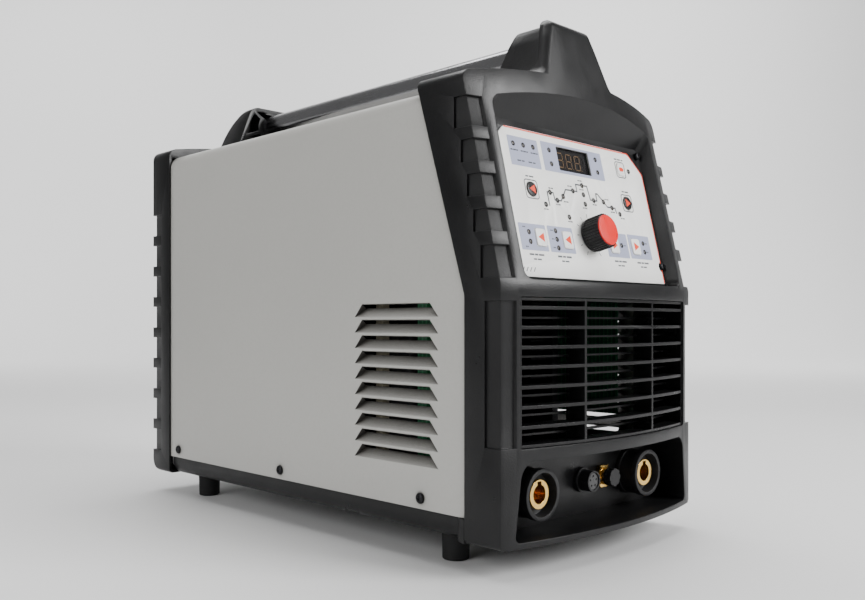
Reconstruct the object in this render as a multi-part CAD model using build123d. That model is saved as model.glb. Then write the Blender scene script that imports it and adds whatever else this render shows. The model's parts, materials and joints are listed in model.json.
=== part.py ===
from build123d import *
import math
import os

# ---------------------------------------------------------------------------
# Inverter TIG welding power source.  Millimetres, X across, -Y front, +Z up.
# The machine stands on its feet at Z = 0, centred in X and in Y.
# ---------------------------------------------------------------------------

# Driving dimensions
HALF_W = 119.5          # half width over the end mouldings
LENGTH = 488.0          # front crest to rear face
HEIGHT = 402.0          # over the handle brackets
FOOT_H = 20.0           # rubber foot height
WALL = 3.0              # moulded wall

FRONT_Y = -LENGTH / 2   # crest of the bowed front
REAR_Y = LENGTH / 2
BOW = 16.0              # how far the front is bowed forward at its middle
CORNER_Y = FRONT_Y + BOW
KNEE_Z = 196.5          # above this the front leans back
LEAN = 0.24             # backward lean, mm per mm of height
MOULD_Z0 = 20.3         # underside of the end mouldings
CROWN_SIDE_Z = 344.0    # top of the end mouldings at the sides
CROWN_MID_Z = 355.0     # and at the middle

COVER_HALF = 118.0      # sheet cover, outside
COVER_T = 1.2
COVER_BEND = 12.0
COVER_Y0, COVER_Y1 = -195.5, 210.5
COVER_Z0, COVER_Z1 = 37.5, 337.5
COVER_KNEE_Z = 189.5
COVER_LEAN = 0.31

# Control panel plane: parallel to the leaning front
PANEL_TILT = math.degrees(math.atan(LEAN))
PANEL_Y = CORNER_Y + 4.5
PANEL_T = 1.5
KNOB_V = 40.8           # knob axis, measured up the panel from the knee
HUMP_ROUND = 6.5   # rounding of the front handle bracket's nose
KNOB_R = 12.3

TUBE_R = 12.5           # carrying tube
TUBE_Z = 382.0
SOCKET_X = 67.0         # welding current sockets
CONNECT_Z = 50.3        # height of every front connector
CONNECT_Y = -202.5      # outer face of the connector plate
PLUG_BORE_R = 6.75      # 13 mm bayonet plug pin
RING_R = 18.5

REAR_PANEL_Y = 210.4    # outer face of the steel rear panel
FAN_X, FAN_Z, FAN_R = 0.0, 186.0, 56.0
SWITCH_X, SWITCH_Z = 66.0, 290.0
GLAND_X, GLAND_Z = -70.0, 80.0
INLET_X, INLET_Z = 70.0, 80.0
EARTH_X, EARTH_Z = 0.0, 62.0

LOUVRE_COUNT, LOUVRE_PITCH = 10, 11.89
LOUVRE_Z0 = 68.0        # lowest louvre's lower edge
LOUVRE_H, LOUVRE_DEPTH = 10.0, 6.5
LOUVRE_LONG, LOUVRE_SHORT = 91.5, 74.0
LOUVRE_Y = -123.3       # middle of the louvre bank

SLAT_COUNT, SLAT_PITCH = 7, 13.37
GRILLE_HALF, GRILLE_Z0, GRILLE_Z1 = 104.0, 86.6, 188.2

FRONT_POCKETS = [(304.1, 325.7), (280.0, 295.5), (256.1, 271.4),
                 (232.0, 247.1), (200.7, 222.6), (87.6, 185.3)]
REAR_POCKET_COUNT, REAR_POCKET_Z, REAR_POCKET_PITCH, REAR_POCKET_H = 8, 52.0, 31.1, 21.0
POCKET_DEPTH = 2.4
FOOT_X, FOOT_FRONT_Y, FOOT_REAR_Y, FOOT_R = 93.0, -162.0, 179.0, 10.3
SIDE_SCREWS_Y, SIDE_SCREW_Z = (-151.0, 22.0, 194.5), 45.3

PANEL = Plane(origin=(0, PANEL_Y, KNEE_Z), x_dir=(1, 0, 0),
              z_dir=(0, -math.cos(math.radians(PANEL_TILT)), math.sin(math.radians(PANEL_TILT))))

BASE = (Align.CENTER, Align.CENTER, Align.MIN)


# ---- small helpers ---------------------------------------------------------
def slab(x0, x1, y0, y1, z0, z1):
    return Pos((x0 + x1) / 2, (y0 + y1) / 2, (z0 + z1) / 2) * Box(x1 - x0, y1 - y0, z1 - z0)


def rod_x(r, x0, x1, y, z):
    return Pos(x0, y, z) * Rot(0, 90, 0) * Cylinder(r, x1 - x0, align=BASE)


def rod_y(r, x, y0, y1, z):
    return Pos(x, y0, z) * Rot(-90, 0, 0) * Cylinder(r, y1 - y0, align=BASE)


def rod_z(r, x, y, z0, z1):
    return Pos(x, y, z0) * Cylinder(r, z1 - z0, align=BASE)


def tube_y(r_out, r_in, x, y0, y1, z):
    return rod_y(r_out, x, y0, y1, z) - rod_y(r_in, x, y0 - 1, y1 + 1, z)


def hex_y(across, x, y0, y1, z):
    face = Plane(origin=(x, y0, z), x_dir=(1, 0, 0), z_dir=(0, 1, 0)) * RegularPolygon(across / 2, 6, major_radius=False)
    return extrude(face, amount=y1 - y0)


def on_panel(shape, x, v, w=0.0):
    """Place a shape drawn at the origin on the control panel: x across, v up it, w out of it."""
    return PANEL.location * Pos(x, v, w) * shape


def across_y(sketch, y0, y1):
    """Extrude an X-Z outline (drawn as x, y) along Y."""
    plane = Plane(origin=(0, y0, 0), x_dir=(1, 0, 0), z_dir=(0, -1, 0))
    return extrude(plane * sketch, amount=y1 - y0, dir=(0, 1, 0))


def across_x(sketch, x0, x1):
    """Extrude a Y-Z outline (drawn as x, y) along X."""
    plane = Plane(origin=(x0, 0, 0), x_dir=(0, 1, 0), z_dir=(1, 0, 0))
    return extrude(plane * sketch, amount=x1 - x0)


def outline(points, radii):
    """Closed polygon with its corners rounded; radii are in the order of the points."""
    sketch = Sketch() + make_face(Polyline(*points, close=True))
    for point, radius in zip(points, radii):
        if radius:
            corner = min(sketch.vertices(), key=lambda v: (v.X - point[0]) ** 2 + (v.Y - point[1]) ** 2)
            sketch = fillet(corner, radius)
    return sketch


def screw_y(x, y_face, z, facing, head_r=3.6, shank_r=1.9, length=9.0):
    """Pan head screw along Y with a cross recess; facing is the side its head points to."""
    head = rod_y(head_r, x, y_face, y_face + 2.2, z) if facing > 0 else rod_y(head_r, x, y_face - 2.2, y_face, z)
    shank = rod_y(shank_r, x, y_face - length, y_face, z) if facing > 0 else rod_y(shank_r, x, y_face, y_face + length, z)
    tip = y_face + facing * 1.7
    cross = Pos(x, tip, z) * (Box(4.0, 1.6, 0.9) + Box(0.9, 1.6, 4.0))
    return head + shank - cross


# ---- shared outlines -------------------------------------------------------
BOW_R = (HALF_W ** 2 + BOW ** 2) / (2 * BOW)


def bow_y(x, inset=0.0):
    return FRONT_Y + BOW_R - math.sqrt((BOW_R - inset) ** 2 - x ** 2)


def front_y(x, z):
    return bow_y(x) + LEAN * max(0.0, z - KNEE_Z)


def front_block(inset, z0, z1, rear_y=-60.0, half=130.0):
    """Solid bounded by the bowed, leaning front, set back by inset, and wider than the machine."""
    end = bow_y(half, inset)

    def plan(z):
        arc = ThreePointArc((-half, end), (0, FRONT_Y + inset), (half, end))
        back = Polyline((half, end), (half, rear_y), (-half, rear_y), (-half, end))
        return Pos(0, 0, z) * make_face(arc + back)

    rise = z1 - KNEE_Z
    lower = extrude(plan(z0), amount=KNEE_Z - z0)
    upper = Solid.extrude(plan(KNEE_Z).face(), Vector(0, LEAN * rise, rise))
    return lower + upper


def end_outline(inset):
    """X-Z outline of an end moulding: flat sides, crowned top, rounded corners."""
    half = HALF_W - inset
    side_z, mid_z, bottom = CROWN_SIDE_Z - inset, CROWN_MID_Z - inset, MOULD_Z0 + inset
    top = ThreePointArc((half, side_z), (0, mid_z), (-half, side_z))
    rest = Polyline((-half, side_z), (-half, bottom), (half, bottom), (half, side_z))
    sketch = Sketch() + make_face(top + rest)
    upper = [v for v in sketch.vertices() if v.Y > 200]
    sketch = fillet(upper, 9.0 - min(inset, 5.0))
    lower = [v for v in sketch.vertices() if v.Y < 200 and abs(v.Y - bottom) < 0.1]
    return fillet(lower, 4.0)


def hump_outline(inset, top_z=HEIGHT):
    """X-Z outline of a handle bracket, flaring out into the crowned top."""
    i = inset
    left = [(-66, 340), (-60, 352.2 - i), (-43.5 + i, 353.5), (-31.5 + i, 386), (-24.5 + i, top_z - i)]
    points = left + [(-x, z) for x, z in reversed(left)]
    radii = [0, 0, 11, 30, 12]
    return outline(points, radii + radii[::-1])


def cover_side(offset):
    """Everything behind the cover's front edge, moved back by offset."""
    top = 430.0
    y0 = COVER_Y0 + offset
    points = [(y0, 0), (y0, COVER_KNEE_Z), (y0 + COVER_LEAN * (top - COVER_KNEE_Z), top), (260, top), (260, 0)]
    return across_x(make_face(Polyline(*points, close=True)), -150, 150)


def connector_outline(grow):
    """X-Z outline of the connector recess in the chin."""
    points = [(-108 - grow, 24.5 - grow), (108 + grow, 24.5 - grow), (102 + grow, 78 + grow), (-102 - grow, 78 + grow)]
    return outline(points, [4, 4, 13 + grow, 13 + grow])


# ---- casing ----------------------------------------------------------------
def louvre_parts(side):
    """Void and pressed-in blade of one bank of louvres, on the side given by its sign."""
    hole, blades = Part(), Part()
    for k in range(LOUVRE_COUNT):
        z = LOUVRE_Z0 + k * LOUVRE_PITCH
        x = COVER_HALF

        def trapezoid(grow):
            long_half, short_half = LOUVRE_LONG / 2 + grow, LOUVRE_SHORT / 2 + grow
            points = [(LOUVRE_Y - long_half, z - grow), (LOUVRE_Y + long_half, z - grow),
                      (LOUVRE_Y + short_half, z + LOUVRE_H), (LOUVRE_Y - short_half, z + LOUVRE_H)]
            return across_x(make_face(Polyline(*points, close=True)), x - 14, x + 2)

        inner = (x - LOUVRE_DEPTH, z + 6.8)
        mouth = [(x + 2, z), (x, z), inner, (x, z + LOUVRE_H), (x + 2, z + LOUVRE_H)]
        skin = [(x, z - 1.2), (x, z + LOUVRE_H), inner, (inner[0] - 0.8, inner[1] - 0.9), (x - 0.8, z - 1.2)]
        void = trapezoid(0) & across_y(make_face(Polyline(*mouth, close=True)), LOUVRE_Y - 60, LOUVRE_Y + 60)
        shell = trapezoid(1.0) & across_y(make_face(Polyline(*skin, close=True)), LOUVRE_Y - 60, LOUVRE_Y + 60)
        hole += void
        blades += shell - void
    if side < 0:
        return mirror(hole, Plane.YZ), mirror(blades, Plane.YZ)
    return hole, blades


def cover():
    def arch(inset):
        half, top = COVER_HALF - inset, COVER_Z1 - inset
        points = [(-half, COVER_Z0 - inset * 9), (half, COVER_Z0 - inset * 9), (half, top), (-half, top)]
        return outline(points, [0, 0, COVER_BEND - inset, COVER_BEND - inset])

    shell = across_y(arch(0), COVER_Y0, COVER_Y1) - across_y(arch(COVER_T), COVER_Y0 - 1, COVER_Y1 + 1)
    shell = shell & cover_side(0)
    for side in (-1, 1):
        hole, blades = louvre_parts(side)
        shell = shell - hole + blades
        for y in SIDE_SCREWS_Y:
            shell -= rod_x(2.2, side * 117.5 - 4, side * 117.5 + 4, y, SIDE_SCREW_Z)
    return shell


def tray_flare(side):
    """Foot of the tray sweeping out to meet the side of the front moulding."""
    y0 = COVER_Y0 + 0.4
    edge = ThreePointArc((119.2, y0), (117.2, y0 + 7), (111.5, y0 + 13))
    tail = ThreePointArc((111.5, y0 + 13), (106, y0 + 19), (104, y0 + 27))
    rest = Polyline((104, y0 + 27), (101, y0 + 27), (101, y0), (119.2, y0))
    flare = extrude(Pos(0, 0, FOOT_H + 0.3) * make_face(edge + tail + rest), amount=COVER_Z0 - FOOT_H - 0.6)
    cavity = slab(90, 113.5, y0 - 1, y0 + 40, FOOT_H + 2.5, 60)
    flare = flare - cavity
    return mirror(flare, Plane.YZ) if side < 0 else flare


def base_tray():
    """Moulded tray: rolled lower edges show below the cover, its walls stand inside it."""
    def trough(half, z0, radius):
        return outline([(-half, 62), (-half, z0), (half, z0), (half, 62)], [0, radius, radius, 0])

    y0, y1 = COVER_Y0 + 0.4, REAR_PANEL_Y - 1.9
    tray = across_y(trough(116.0, FOOT_H, 12), y0, y1) - across_y(trough(113.5, FOOT_H + 2.5, 9.5), y0 - 1, y1 + 1)
    for x in (-78, -60, 0, 60, 78):
        tray += slab(x - 1.25, x + 1.25, y0 + 8, y1, FOOT_H + 2.4, FOOT_H + 7)
    for side in (-1, 1):
        tray += tray_flare(side)
        tray += slab(side * 98 - 6, side * 98 + 6, CONNECT_Y + 2.1, y0 + 8, 23.6, 37)
        tray += slab(side * 98 - 6, side * 98 + 6, y0, y0 + 8, FOOT_H + 2, 24)
        tray -= rod_y(1.7, side * 98, CONNECT_Y, y0 + 10, 31)
        for y in SIDE_SCREWS_Y:
            tray -= rod_x(2.2, side * 115 - 4, side * 115 + 4, y, SIDE_SCREW_Z)
        for y in (FOOT_FRONT_Y, FOOT_REAR_Y):
            tray -= rod_z(2.7, side * FOOT_X, y, FOOT_H - 1, FOOT_H + 4)
    return tray


def faceplate_recess():
    floor = PANEL.offset(-PANEL_T - 0.1) * Pos(0, 64.5) * RectangleRounded(193, 119, 6)
    mouth = PANEL.offset(30) * Pos(0, 73.3) * RectangleRounded(206, 156.5, 9)
    return loft([floor.face(), mouth.face()])


def front_hump():
    rear = lambda z: -149.0 - 0.24 * (z - 350.0)
    nose = lambda z: front_y(0, z)
    side = outline([(nose(335), 335), (nose(HEIGHT), HEIGHT), (rear(HEIGHT), HEIGHT), (rear(335), 335)], [0, 13, 5, 0])
    hump = across_x(side, -70, 70) & across_y(hump_outline(0), -260, -120) & front_block(0, 150, HEIGHT + 1)
    upright = [(edge, edge @ 0.5) for edge in hump.edges() if edge.bounding_box().min.Z > 352.5]
    ridge = [edge for edge, at in upright if abs(at.X) > 20 and abs(at.Y - front_y(at.X, at.Z)) < 0.6]
    return fillet(ridge, HUMP_ROUND)


def front_bezel():
    crown = across_y(end_outline(0), -262, -120)
    body = (front_block(0, MOULD_Z0, 380) & crown) - cover_side(0)
    hump = front_hump() - cover_side(0.5)
    outer = body + hump

    # hollow behind the face, open towards the cover
    inner = front_block(WALL, MOULD_Z0 + WALL, 380) & across_y(end_outline(WALL), -262, -60)
    behind = inner - slab(-150, 150, -262, 0, COVER_Z1 - 4.5, 420)
    under_crown = inner - cover_side(-WALL)
    hump_void = across_y(hump_outline(3.5), -262, -120) & front_block(3.5, 150, HEIGHT - 3.5)
    hump_void = (hump_void & slab(-60, 60, -262, -165, 345, HEIGHT)) - rod_y(TUBE_R + 5, 0, -262, -100, TUBE_Z)
    shell = outer - behind - under_crown - hump_void

    # control recess with its own floor and visor
    recess = faceplate_recess()
    tub_floor = PANEL.offset(-PANEL_T - 0.1 - WALL) * Pos(0, 64.5) * RectangleRounded(199, 125, 8)
    tub_mouth = PANEL.offset(30) * Pos(0, 73.3) * RectangleRounded(213, 163, 11)
    tub = loft([tub_floor.face(), tub_mouth.face()]) & outer
    shell = shell + tub - recess
    for x in (-85.5, 85.5):
        for v in (15.5, 112.5):
            shell += on_panel(extrude(Circle(3), amount=BOARD_W + 0.1 + PANEL_T + 1), x, v, -PANEL_T - 1)
            shell -= on_panel(extrude(Circle(1.2), amount=-10), x, v, -6)
    shell -= on_panel(extrude(RectangleRounded(164, 94, 4), amount=-12), 0, 65)

    # grille opening and connector recess
    shell -= across_y(Pos(0, (GRILLE_Z0 + GRILLE_Z1) / 2) * RectangleRounded(2 * GRILLE_HALF, GRILLE_Z1 - GRILLE_Z0, 2),
                      -262, -212)
    walls = across_y(connector_outline(WALL), -262, CONNECT_Y - 0.1) & outer
    shell = shell + walls - across_y(connector_outline(0), -262, -180)

    # scooped pockets that wrap both corners
    core_half = HALF_W - POCKET_DEPTH
    core = front_block(POCKET_DEPTH, 0, 400) & slab(-core_half, core_half, -262, 0, 0, 400)
    for z0, z1 in FRONT_POCKETS:
        for side in (-1, 1):
            mid = front_y(HALF_W, (z0 + z1) / 2)
            zone = slab(min(side * 107, side * 125), max(side * 107, side * 125), mid - 30, mid + 14, z0, z1)
            shell -= zone - core

    # hump sides stepped in behind a rounded bead
    nose = lambda z: front_y(0, z) + 9.5
    step = outline([(nose(357), 357), (nose(415), 415), (-110, 415), (-110, 357)], [10, 0, 0, 0])
    shell -= across_x(step, -62, 62) - across_y(hump_outline(3.2), -262, -60)

    # blind socket for the carrying tube, tongue that the cover laps over, screw holes
    shell -= rod_y(TUBE_R + 0.05, 0, -181, -120, TUBE_Z)
    tongue = across_y(outline([(-116.4, 66), (116.4, 66), (116.4, 335.9), (-116.4, 335.9)], [0, 0, 11, 11]), -200, -120)
    tongue -= across_y(outline([(-113.8, 60), (113.8, 60), (113.8, 333.3), (-113.8, 333.3)], [0, 0, 9, 9]), -210, -100)
    tongue = (tongue & cover_side(-2.5)) - cover_side(12)
    shell += tongue
    for x, v in PANEL_SCREWS:
        shell -= on_panel(extrude(Circle(1.6), amount=-9), x, v, -1)
    return shell


PANEL_SCREWS = [(-90.5, 117.0), (91.0, 117.0), (-93.0, 18.9), (93.0, 20.5)]
LEDS = ([(-72.8, 105.2), (-61.6, 105.2), (-50.5, 105.2), (-31.5, 105.8), (-31.5, 94.9), (27.1, 105.9), (27.1, 95.2),
         (72.5, 101.6), (-22.2, 54.1), (-73.8, 39.0), (-73.8, 32.0), (-42.8, 42.0), (-42.8, 35.5), (-42.8, 29.0),
         (39.7, 36.0), (71.4, 39.6), (71.4, 32.3)]
        + [(-47.7, 61.7), (-40.2, 71.7), (-33.0, 66.2), (-25.0, 70.0), (-11.2, 75.9), (1.8, 81.6), (1.6, 74.1),
           (1.6, 66.5), (13.9, 70.7), (26.8, 70.8), (37.1, 66.9), (46.8, 62.4)])
LED_R = 2.0
# key name: x, v, width, height, round?
KEYS = {"gas_test_key": (60.7, 101.6, 9.6, 10.2, False),
        "step_back_key": (-61.2, 71.9, 11.0, 11.0, True),
        "step_forward_key": (60.6, 72.9, 11.0, 11.0, True),
        "polarity_key": (-61.5, 35.6, 11.4, 13.2, False),
        "process_key": (-30.3, 35.6, 11.4, 13.2, False),
        "pulse_key": (29.4, 35.6, 11.4, 13.2, False),
        "trigger_key": (59.6, 36.0, 11.4, 13.2, False)}
KEY_GAP = 0.35
KEY_PROUD = 1.0
BOARD_W = -14.0         # component side of the control board, behind the panel face
WINDOW = (-2.2, 100.7, 40.6, 19.2)


def key_face(name, grow):
    x, v, width, height, is_round = KEYS[name]
    if is_round:
        return Circle(width / 2 + grow)
    return RectangleRounded(width + 2 * grow, height + 2 * grow, 2.2 + grow)


def control_plate():
    face = outline([(-80.0, 118), (76, 118), (92.5, 101), (92.5, 6.2), (-86, 6.2), (-92.5, 14), (-92.5, 107)],
                   [8, 22, 20, 1, 3, 3, 9])
    plate = extrude(face, amount=-PANEL_T)
    for x, v in PANEL_SCREWS:
        plate -= Pos(x, v) * Cylinder(4.4, 10)
    for x, v in LEDS:
        plate -= Pos(x, v) * Cylinder(LED_R + 0.15, 10)
    for name, (x, v, *_rest) in KEYS.items():
        plate -= extrude(Pos(x, v) * key_face(name, KEY_GAP), amount=5, both=True)
    x, v, width, height = WINDOW
    plate -= extrude(Pos(x, v) * Rectangle(width, height), amount=5, both=True)
    plate -= Pos(0, KNOB_V) * Cylinder(5.2, 10)
    return PANEL.location * plate


def display_window():
    x, v, width, height = WINDOW
    return on_panel(extrude(RectangleRounded(width - 0.4, height - 0.4, 0.6), amount=-2.0), x, v, 0.0)


def display_digits():
    """Three-digit seven-segment module: a dark block with raised bars."""
    x, v, width, height = WINDOW
    block = Pos(x, v, BOARD_W + 0.1) * Box(width - 1, height - 1, -2.8 - BOARD_W - 0.1, align=BASE)
    for digit in range(3):
        cx = x + (digit - 1) * 12.6
        for level in (-6.1, 0, 6.1):
            block += Pos(cx, v + level, -2.6) * Box(5.6, 1.2, 0.6)
        for column in (-3.4, 3.4):
            for level in (-3.05, 3.05):
                block += Pos(cx + column, v + level, -2.6) * Box(1.2, 4.6, 0.6)
    return PANEL.location * block


def status_leds():
    lamps = []
    for x, v in LEDS:
        dome = Pos(x, v, -0.6) * Sphere(LED_R) & Pos(x, v, 0) * Box(8, 8, 4)
        body = Pos(x, v, BOARD_W + 0.1) * Cylinder(LED_R, -0.6 - BOARD_W - 0.1, align=BASE)
        lamps.append(PANEL.location * (dome + body))
    return lamps


def key(name):
    x, v, _w, _h, _round = KEYS[name]
    cap = extrude(key_face(name, 0), amount=-3.6)
    cap = Pos(0, 0, KEY_PROUD) * cap
    cap = chamfer(cap.faces().sort_by(Axis.Z)[-1].edges(), 0.4)
    stem = Pos(0, 0, -9.8) * Cylinder(2.0, 8.0, align=BASE)
    return on_panel(cap + stem, x, v)


def control_board():
    board = Pos(0, 64, BOARD_W - 1.6) * Box(178, 102, 1.6, align=BASE)
    for x, v, *_rest in KEYS.values():
        board += Pos(x, v, BOARD_W) * Box(6, 6, 3.2, align=BASE)
    for x in (-60, -20, 20, 60):
        board += Pos(x, 30, BOARD_W - 6) * Box(14, 9, 4.5, align=BASE)
    board -= Pos(0, KNOB_V) * Cylinder(3.4, 60)
    for x in (-85.5, 85.5):
        for v in (15.5, 112.5):
            board -= Pos(x, v, BOARD_W) * Cylinder(1.4, 8)
    return PANEL.location * board


def encoder():
    """Rotary encoder: can on the board, threaded bush through the plate, running bore."""
    can = Pos(0, KNOB_V, BOARD_W + 0.1) * Box(13, 13, 7, align=BASE)
    bush = Pos(0, KNOB_V, BOARD_W + 7) * Cylinder(4.5, 8.4, align=BASE)
    nut = Pos(0, KNOB_V, 0.1) * extrude(RegularPolygon(5.5, 6, major_radius=False), amount=1.6)
    return PANEL.location * (can + bush + nut - Pos(0, KNOB_V) * Cylinder(3.05, 60))


def encoder_shaft():
    return on_panel(Cylinder(3.0, 25.4, align=BASE), 0, KNOB_V, -11.4)


def knob():
    """Fluted knob body, hollow underneath, bored for the shaft."""
    flutes = 36
    points = []
    for k in range(flutes * 2):
        radius = KNOB_R if k % 2 else KNOB_R - 0.7
        angle = math.pi * k / flutes
        points.append((radius * math.cos(angle), radius * math.sin(angle)))
    body = Pos(0, 0, 2.8) * extrude(make_face(Polyline(*points, close=True)), amount=13.0)
    body += Pos(0, 0, 0.6) * Cylinder(KNOB_R + 0.5, 2.2, align=BASE)
    body -= Pos(0, 0, 0.5) * Cylinder(10.4, 4.6, align=BASE)
    body += Pos(0, 0, 2.2) * Cylinder(5.6, 6, align=BASE)
    body -= Cylinder(3.0, 14.1, align=BASE)
    return on_panel(body, 0, KNOB_V)


def knob_cap():
    disc = Pos(0, 0, 15.8) * Cylinder(KNOB_R - 0.5, 1.2, align=BASE)
    disc = chamfer(disc.faces().sort_by(Axis.Z)[-1].edges(), 0.4)
    return on_panel(disc, 0, KNOB_V)


def front_grille():
    """Slatted insert behind the front opening: slats and bars follow the bowed front."""
    z0, z1 = GRILLE_Z0 + 0.4, GRILLE_Z1 - 0.4
    half = GRILLE_HALF - 0.4
    zone = slab(-half, half, -262, -205, z0, z1)
    outer, inner = front_block(1.2, 60, 200), front_block(15.5, 60, 200)
    ribs = slab(-half, half, -262, -205, z0, z0 + 2.0) + slab(-half, half, -262, -205, z1 - 2.0, z1)
    for side in (-1, 1):
        ribs += slab(min(side * half, side * (half - 2)), max(side * half, side * (half - 2)), -262, -205, z0, z1)
        ribs += slab(side * 43 - 1.1, side * 43 + 1.1, -262, -205, z0, z1)
    for k in range(SLAT_COUNT):
        z = 100.7 + k * SLAT_PITCH
        ribs += slab(-half, half, -262, -205, z - 1.15, z + 1.15)
    grille = (ribs & zone & outer) - inner
    backing = (front_block(15.0, 60, 200) - front_block(17.6, 60, 200)) & zone
    for k in range(SLAT_COUNT + 1):
        z = 94.0 + k * SLAT_PITCH
        if z < z1:
            grille += (slab(-half, half, -262, -205, z - 0.8, z + 0.8) & backing)
    for x in (-half + 1, -43, 43, half - 1):
        grille += slab(x - 1, x + 1, -262, -205, z0, z1) & backing
    return grille


def connector_plate():
    plate = across_y(connector_outline(0.9), CONNECT_Y, CONNECT_Y + 2.0)
    for side in (-1, 1):
        plate -= rod_y(16.2, side * SOCKET_X, -210, -190, CONNECT_Z)
        plate -= rod_y(1.9, side * 98, -210, -190, 31)
    plate -= rod_y(7.2, CONTROL_X, -210, -190, CONNECT_Z)
    plate -= rod_y(6.7, GAS_X, -210, -190, CONNECT_Z)
    return plate


CONTROL_X, GAS_X = 3.3, 29.5
SOCKET_FACE_Y = CONNECT_Y - 19.5


def socket_shell(x):
    """Insulating body of a welding current socket, flanged on the plate, open-mouthed."""
    z = CONNECT_Z
    body = rod_y(RING_R, x, SOCKET_FACE_Y, CONNECT_Y - 0.1, z)
    body -= tube_y(RING_R + 2, RING_R - 0.9, x, SOCKET_FACE_Y + 6, CONNECT_Y - 4, z)
    body -= rod_y(RING_R - 3.2, x, SOCKET_FACE_Y - 1, SOCKET_FACE_Y + 9, z)
    body += rod_y(16.0, x, CONNECT_Y - 1, CONNECT_Y + 14, z)
    return body - rod_y(10.4, x, SOCKET_FACE_Y - 1, CONNECT_Y + 20, z)


def socket_contact(x):
    """Brass insert: bayonet bore with its keyway, hex root and threaded stud."""
    z = CONNECT_Z
    y0 = SOCKET_FACE_Y + 3.5
    body = rod_y(10.3, x, y0, CONNECT_Y + 14, z) + rod_y(6.0, x, CONNECT_Y + 13, CONNECT_Y + 30, z)
    body += hex_y(17, x, CONNECT_Y + 14.2, CONNECT_Y + 19, z)
    body -= rod_y(PLUG_BORE_R, x, y0 - 1, y0 + 26, z)
    return body - slab(x - 2.2, x + 2.2, y0 - 1, y0 + 20, z + 4, z + 9.0)


def control_socket():
    """Multi-pin remote control socket: flange, threaded collar and contact face."""
    y = CONNECT_Y
    body = rod_y(9.6, CONTROL_X, y - 3.0, y - 0.1, CONNECT_Z) + rod_y(8.0, CONTROL_X, y - 12.5, y - 2, CONNECT_Z)
    body += rod_y(7.0, CONTROL_X, y - 1, y + 12, CONNECT_Z)
    return body - rod_y(6.6, CONTROL_X, y - 14, y - 5, CONNECT_Z)


def control_socket_face():
    face = rod_y(6.4, CONTROL_X, CONNECT_Y - 11.6, CONNECT_Y - 5.1, CONNECT_Z)
    for k in range(5):
        angle = math.radians(90 + 72 * k)
        face -= rod_y(0.8, CONTROL_X + 3.9 * math.cos(angle), CONNECT_Y - 13, CONNECT_Y - 7.5,
                      CONNECT_Z + 3.9 * math.sin(angle))
    return face


def gas_outlet():
    y = CONNECT_Y
    body = hex_y(17, GAS_X, y - 3.6, y - 0.1, CONNECT_Z) + rod_y(6.5, GAS_X, y - 7, y + 14, CONNECT_Z)
    body += hex_y(16, GAS_X, y + 2.1, y + 6, CONNECT_Z) + rod_y(4.0, GAS_X, y + 13, y + 25, CONNECT_Z)
    return body - rod_y(2.0, GAS_X, y - 8, y + 30, CONNECT_Z)


def gas_outlet_cap():
    """Push-on dust cap with a splined grip."""
    cap = rod_y(7.0, GAS_X, CONNECT_Y - 13.5, CONNECT_Y - 7.1, CONNECT_Z)
    for k in range(8):
        angle = math.radians(45 * k + 22.5)
        cap -= rod_y(1.0, GAS_X + 7.2 * math.cos(angle), CONNECT_Y - 15, CONNECT_Y - 9, CONNECT_Z + 7.2 * math.sin(angle))
    return cap


def carry_tube():
    return tube_y(TUBE_R, TUBE_R - 1.6, 0, -180.5, 215.0, TUBE_Z)


# ---- rear end --------------------------------------------------------------
def rear_hump():
    curve = ThreePointArc((214, HEIGHT), (233, 388), (REAR_Y, 350))
    rest = Polyline((REAR_Y, 350), (REAR_Y, 338.2), (206.5, 338.2), (206.5, HEIGHT), (214, HEIGHT))
    side = Sketch() + make_face(curve + rest)
    hump = across_x(side, -70, 70) & across_y(hump_outline(0), 200, REAR_Y)
    cells = across_y(hump_outline(4.0), 200, 222) & slab(-37, 37, 200, 222, 345, HEIGHT)
    cells -= rod_y(TUBE_R + 4.5, 0, 190, 260, TUBE_Z)
    for angle in (35, 90, 145, 200, 245, 295, 340):
        rib = Pos(0, 0, TUBE_Z) * Rot(0, -angle, 0) * Pos(30, 215, 0) * Box(60, 60, 3.2)
        cells -= rib
    return hump - cells - rod_y(TUBE_R + 0.05, 0, 200, 215.5, TUBE_Z)


def rear_housing():
    """Picture-frame bumper with wrapped corner pockets and the rear handle bracket."""
    y0 = COVER_Y1 + 0.4
    side = outline([(y0, 0), (REAR_Y, 0), (REAR_Y, 400), (y0, 400)], [0, 0, 0, 0])
    roll = outline([(y0, MOULD_Z0), (REAR_Y, MOULD_Z0), (REAR_Y, 365), (y0, 365)], [0, 13, 0, 0])
    frame = across_y(end_outline(0), y0, REAR_Y) & across_x(roll, -130, 130)
    frame = frame + rear_hump()
    frame -= across_y(end_outline(13), y0 - 1, REAR_Y + 1)
    channel = across_y(end_outline(WALL), y0 - 1, REAR_Y - 8) - across_y(end_outline(13 - WALL), y0 - 2, REAR_Y)
    channel -= slab(-70, 70, 200, 250, 330, 410) + slab(-150, 150, 200, y0 + 2.5, 336, 410)
    frame -= channel
    core = slab(-HALF_W + POCKET_DEPTH, HALF_W - POCKET_DEPTH, 0, REAR_Y - POCKET_DEPTH, 0, 400)
    for k in range(REAR_POCKET_COUNT):
        z = REAR_POCKET_Z + k * REAR_POCKET_PITCH
        for sign in (-1, 1):
            zone = slab(min(sign * 108, sign * 125), max(sign * 108, sign * 125), REAR_Y - 16, REAR_Y + 5,
                        z - REAR_POCKET_H / 2, z + REAR_POCKET_H / 2)
            frame -= zone - core
    for x, z in REAR_SCREWS:
        frame = frame + rod_y(3.4, x, y0, REAR_Y - 6, z) - rod_y(1.6, x, y0 - 1, y0 + 9, z)
    return frame


REAR_SCREWS = [(-110.5, 68), (110.5, 68), (-110.5, 300), (110.5, 300)]


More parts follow.
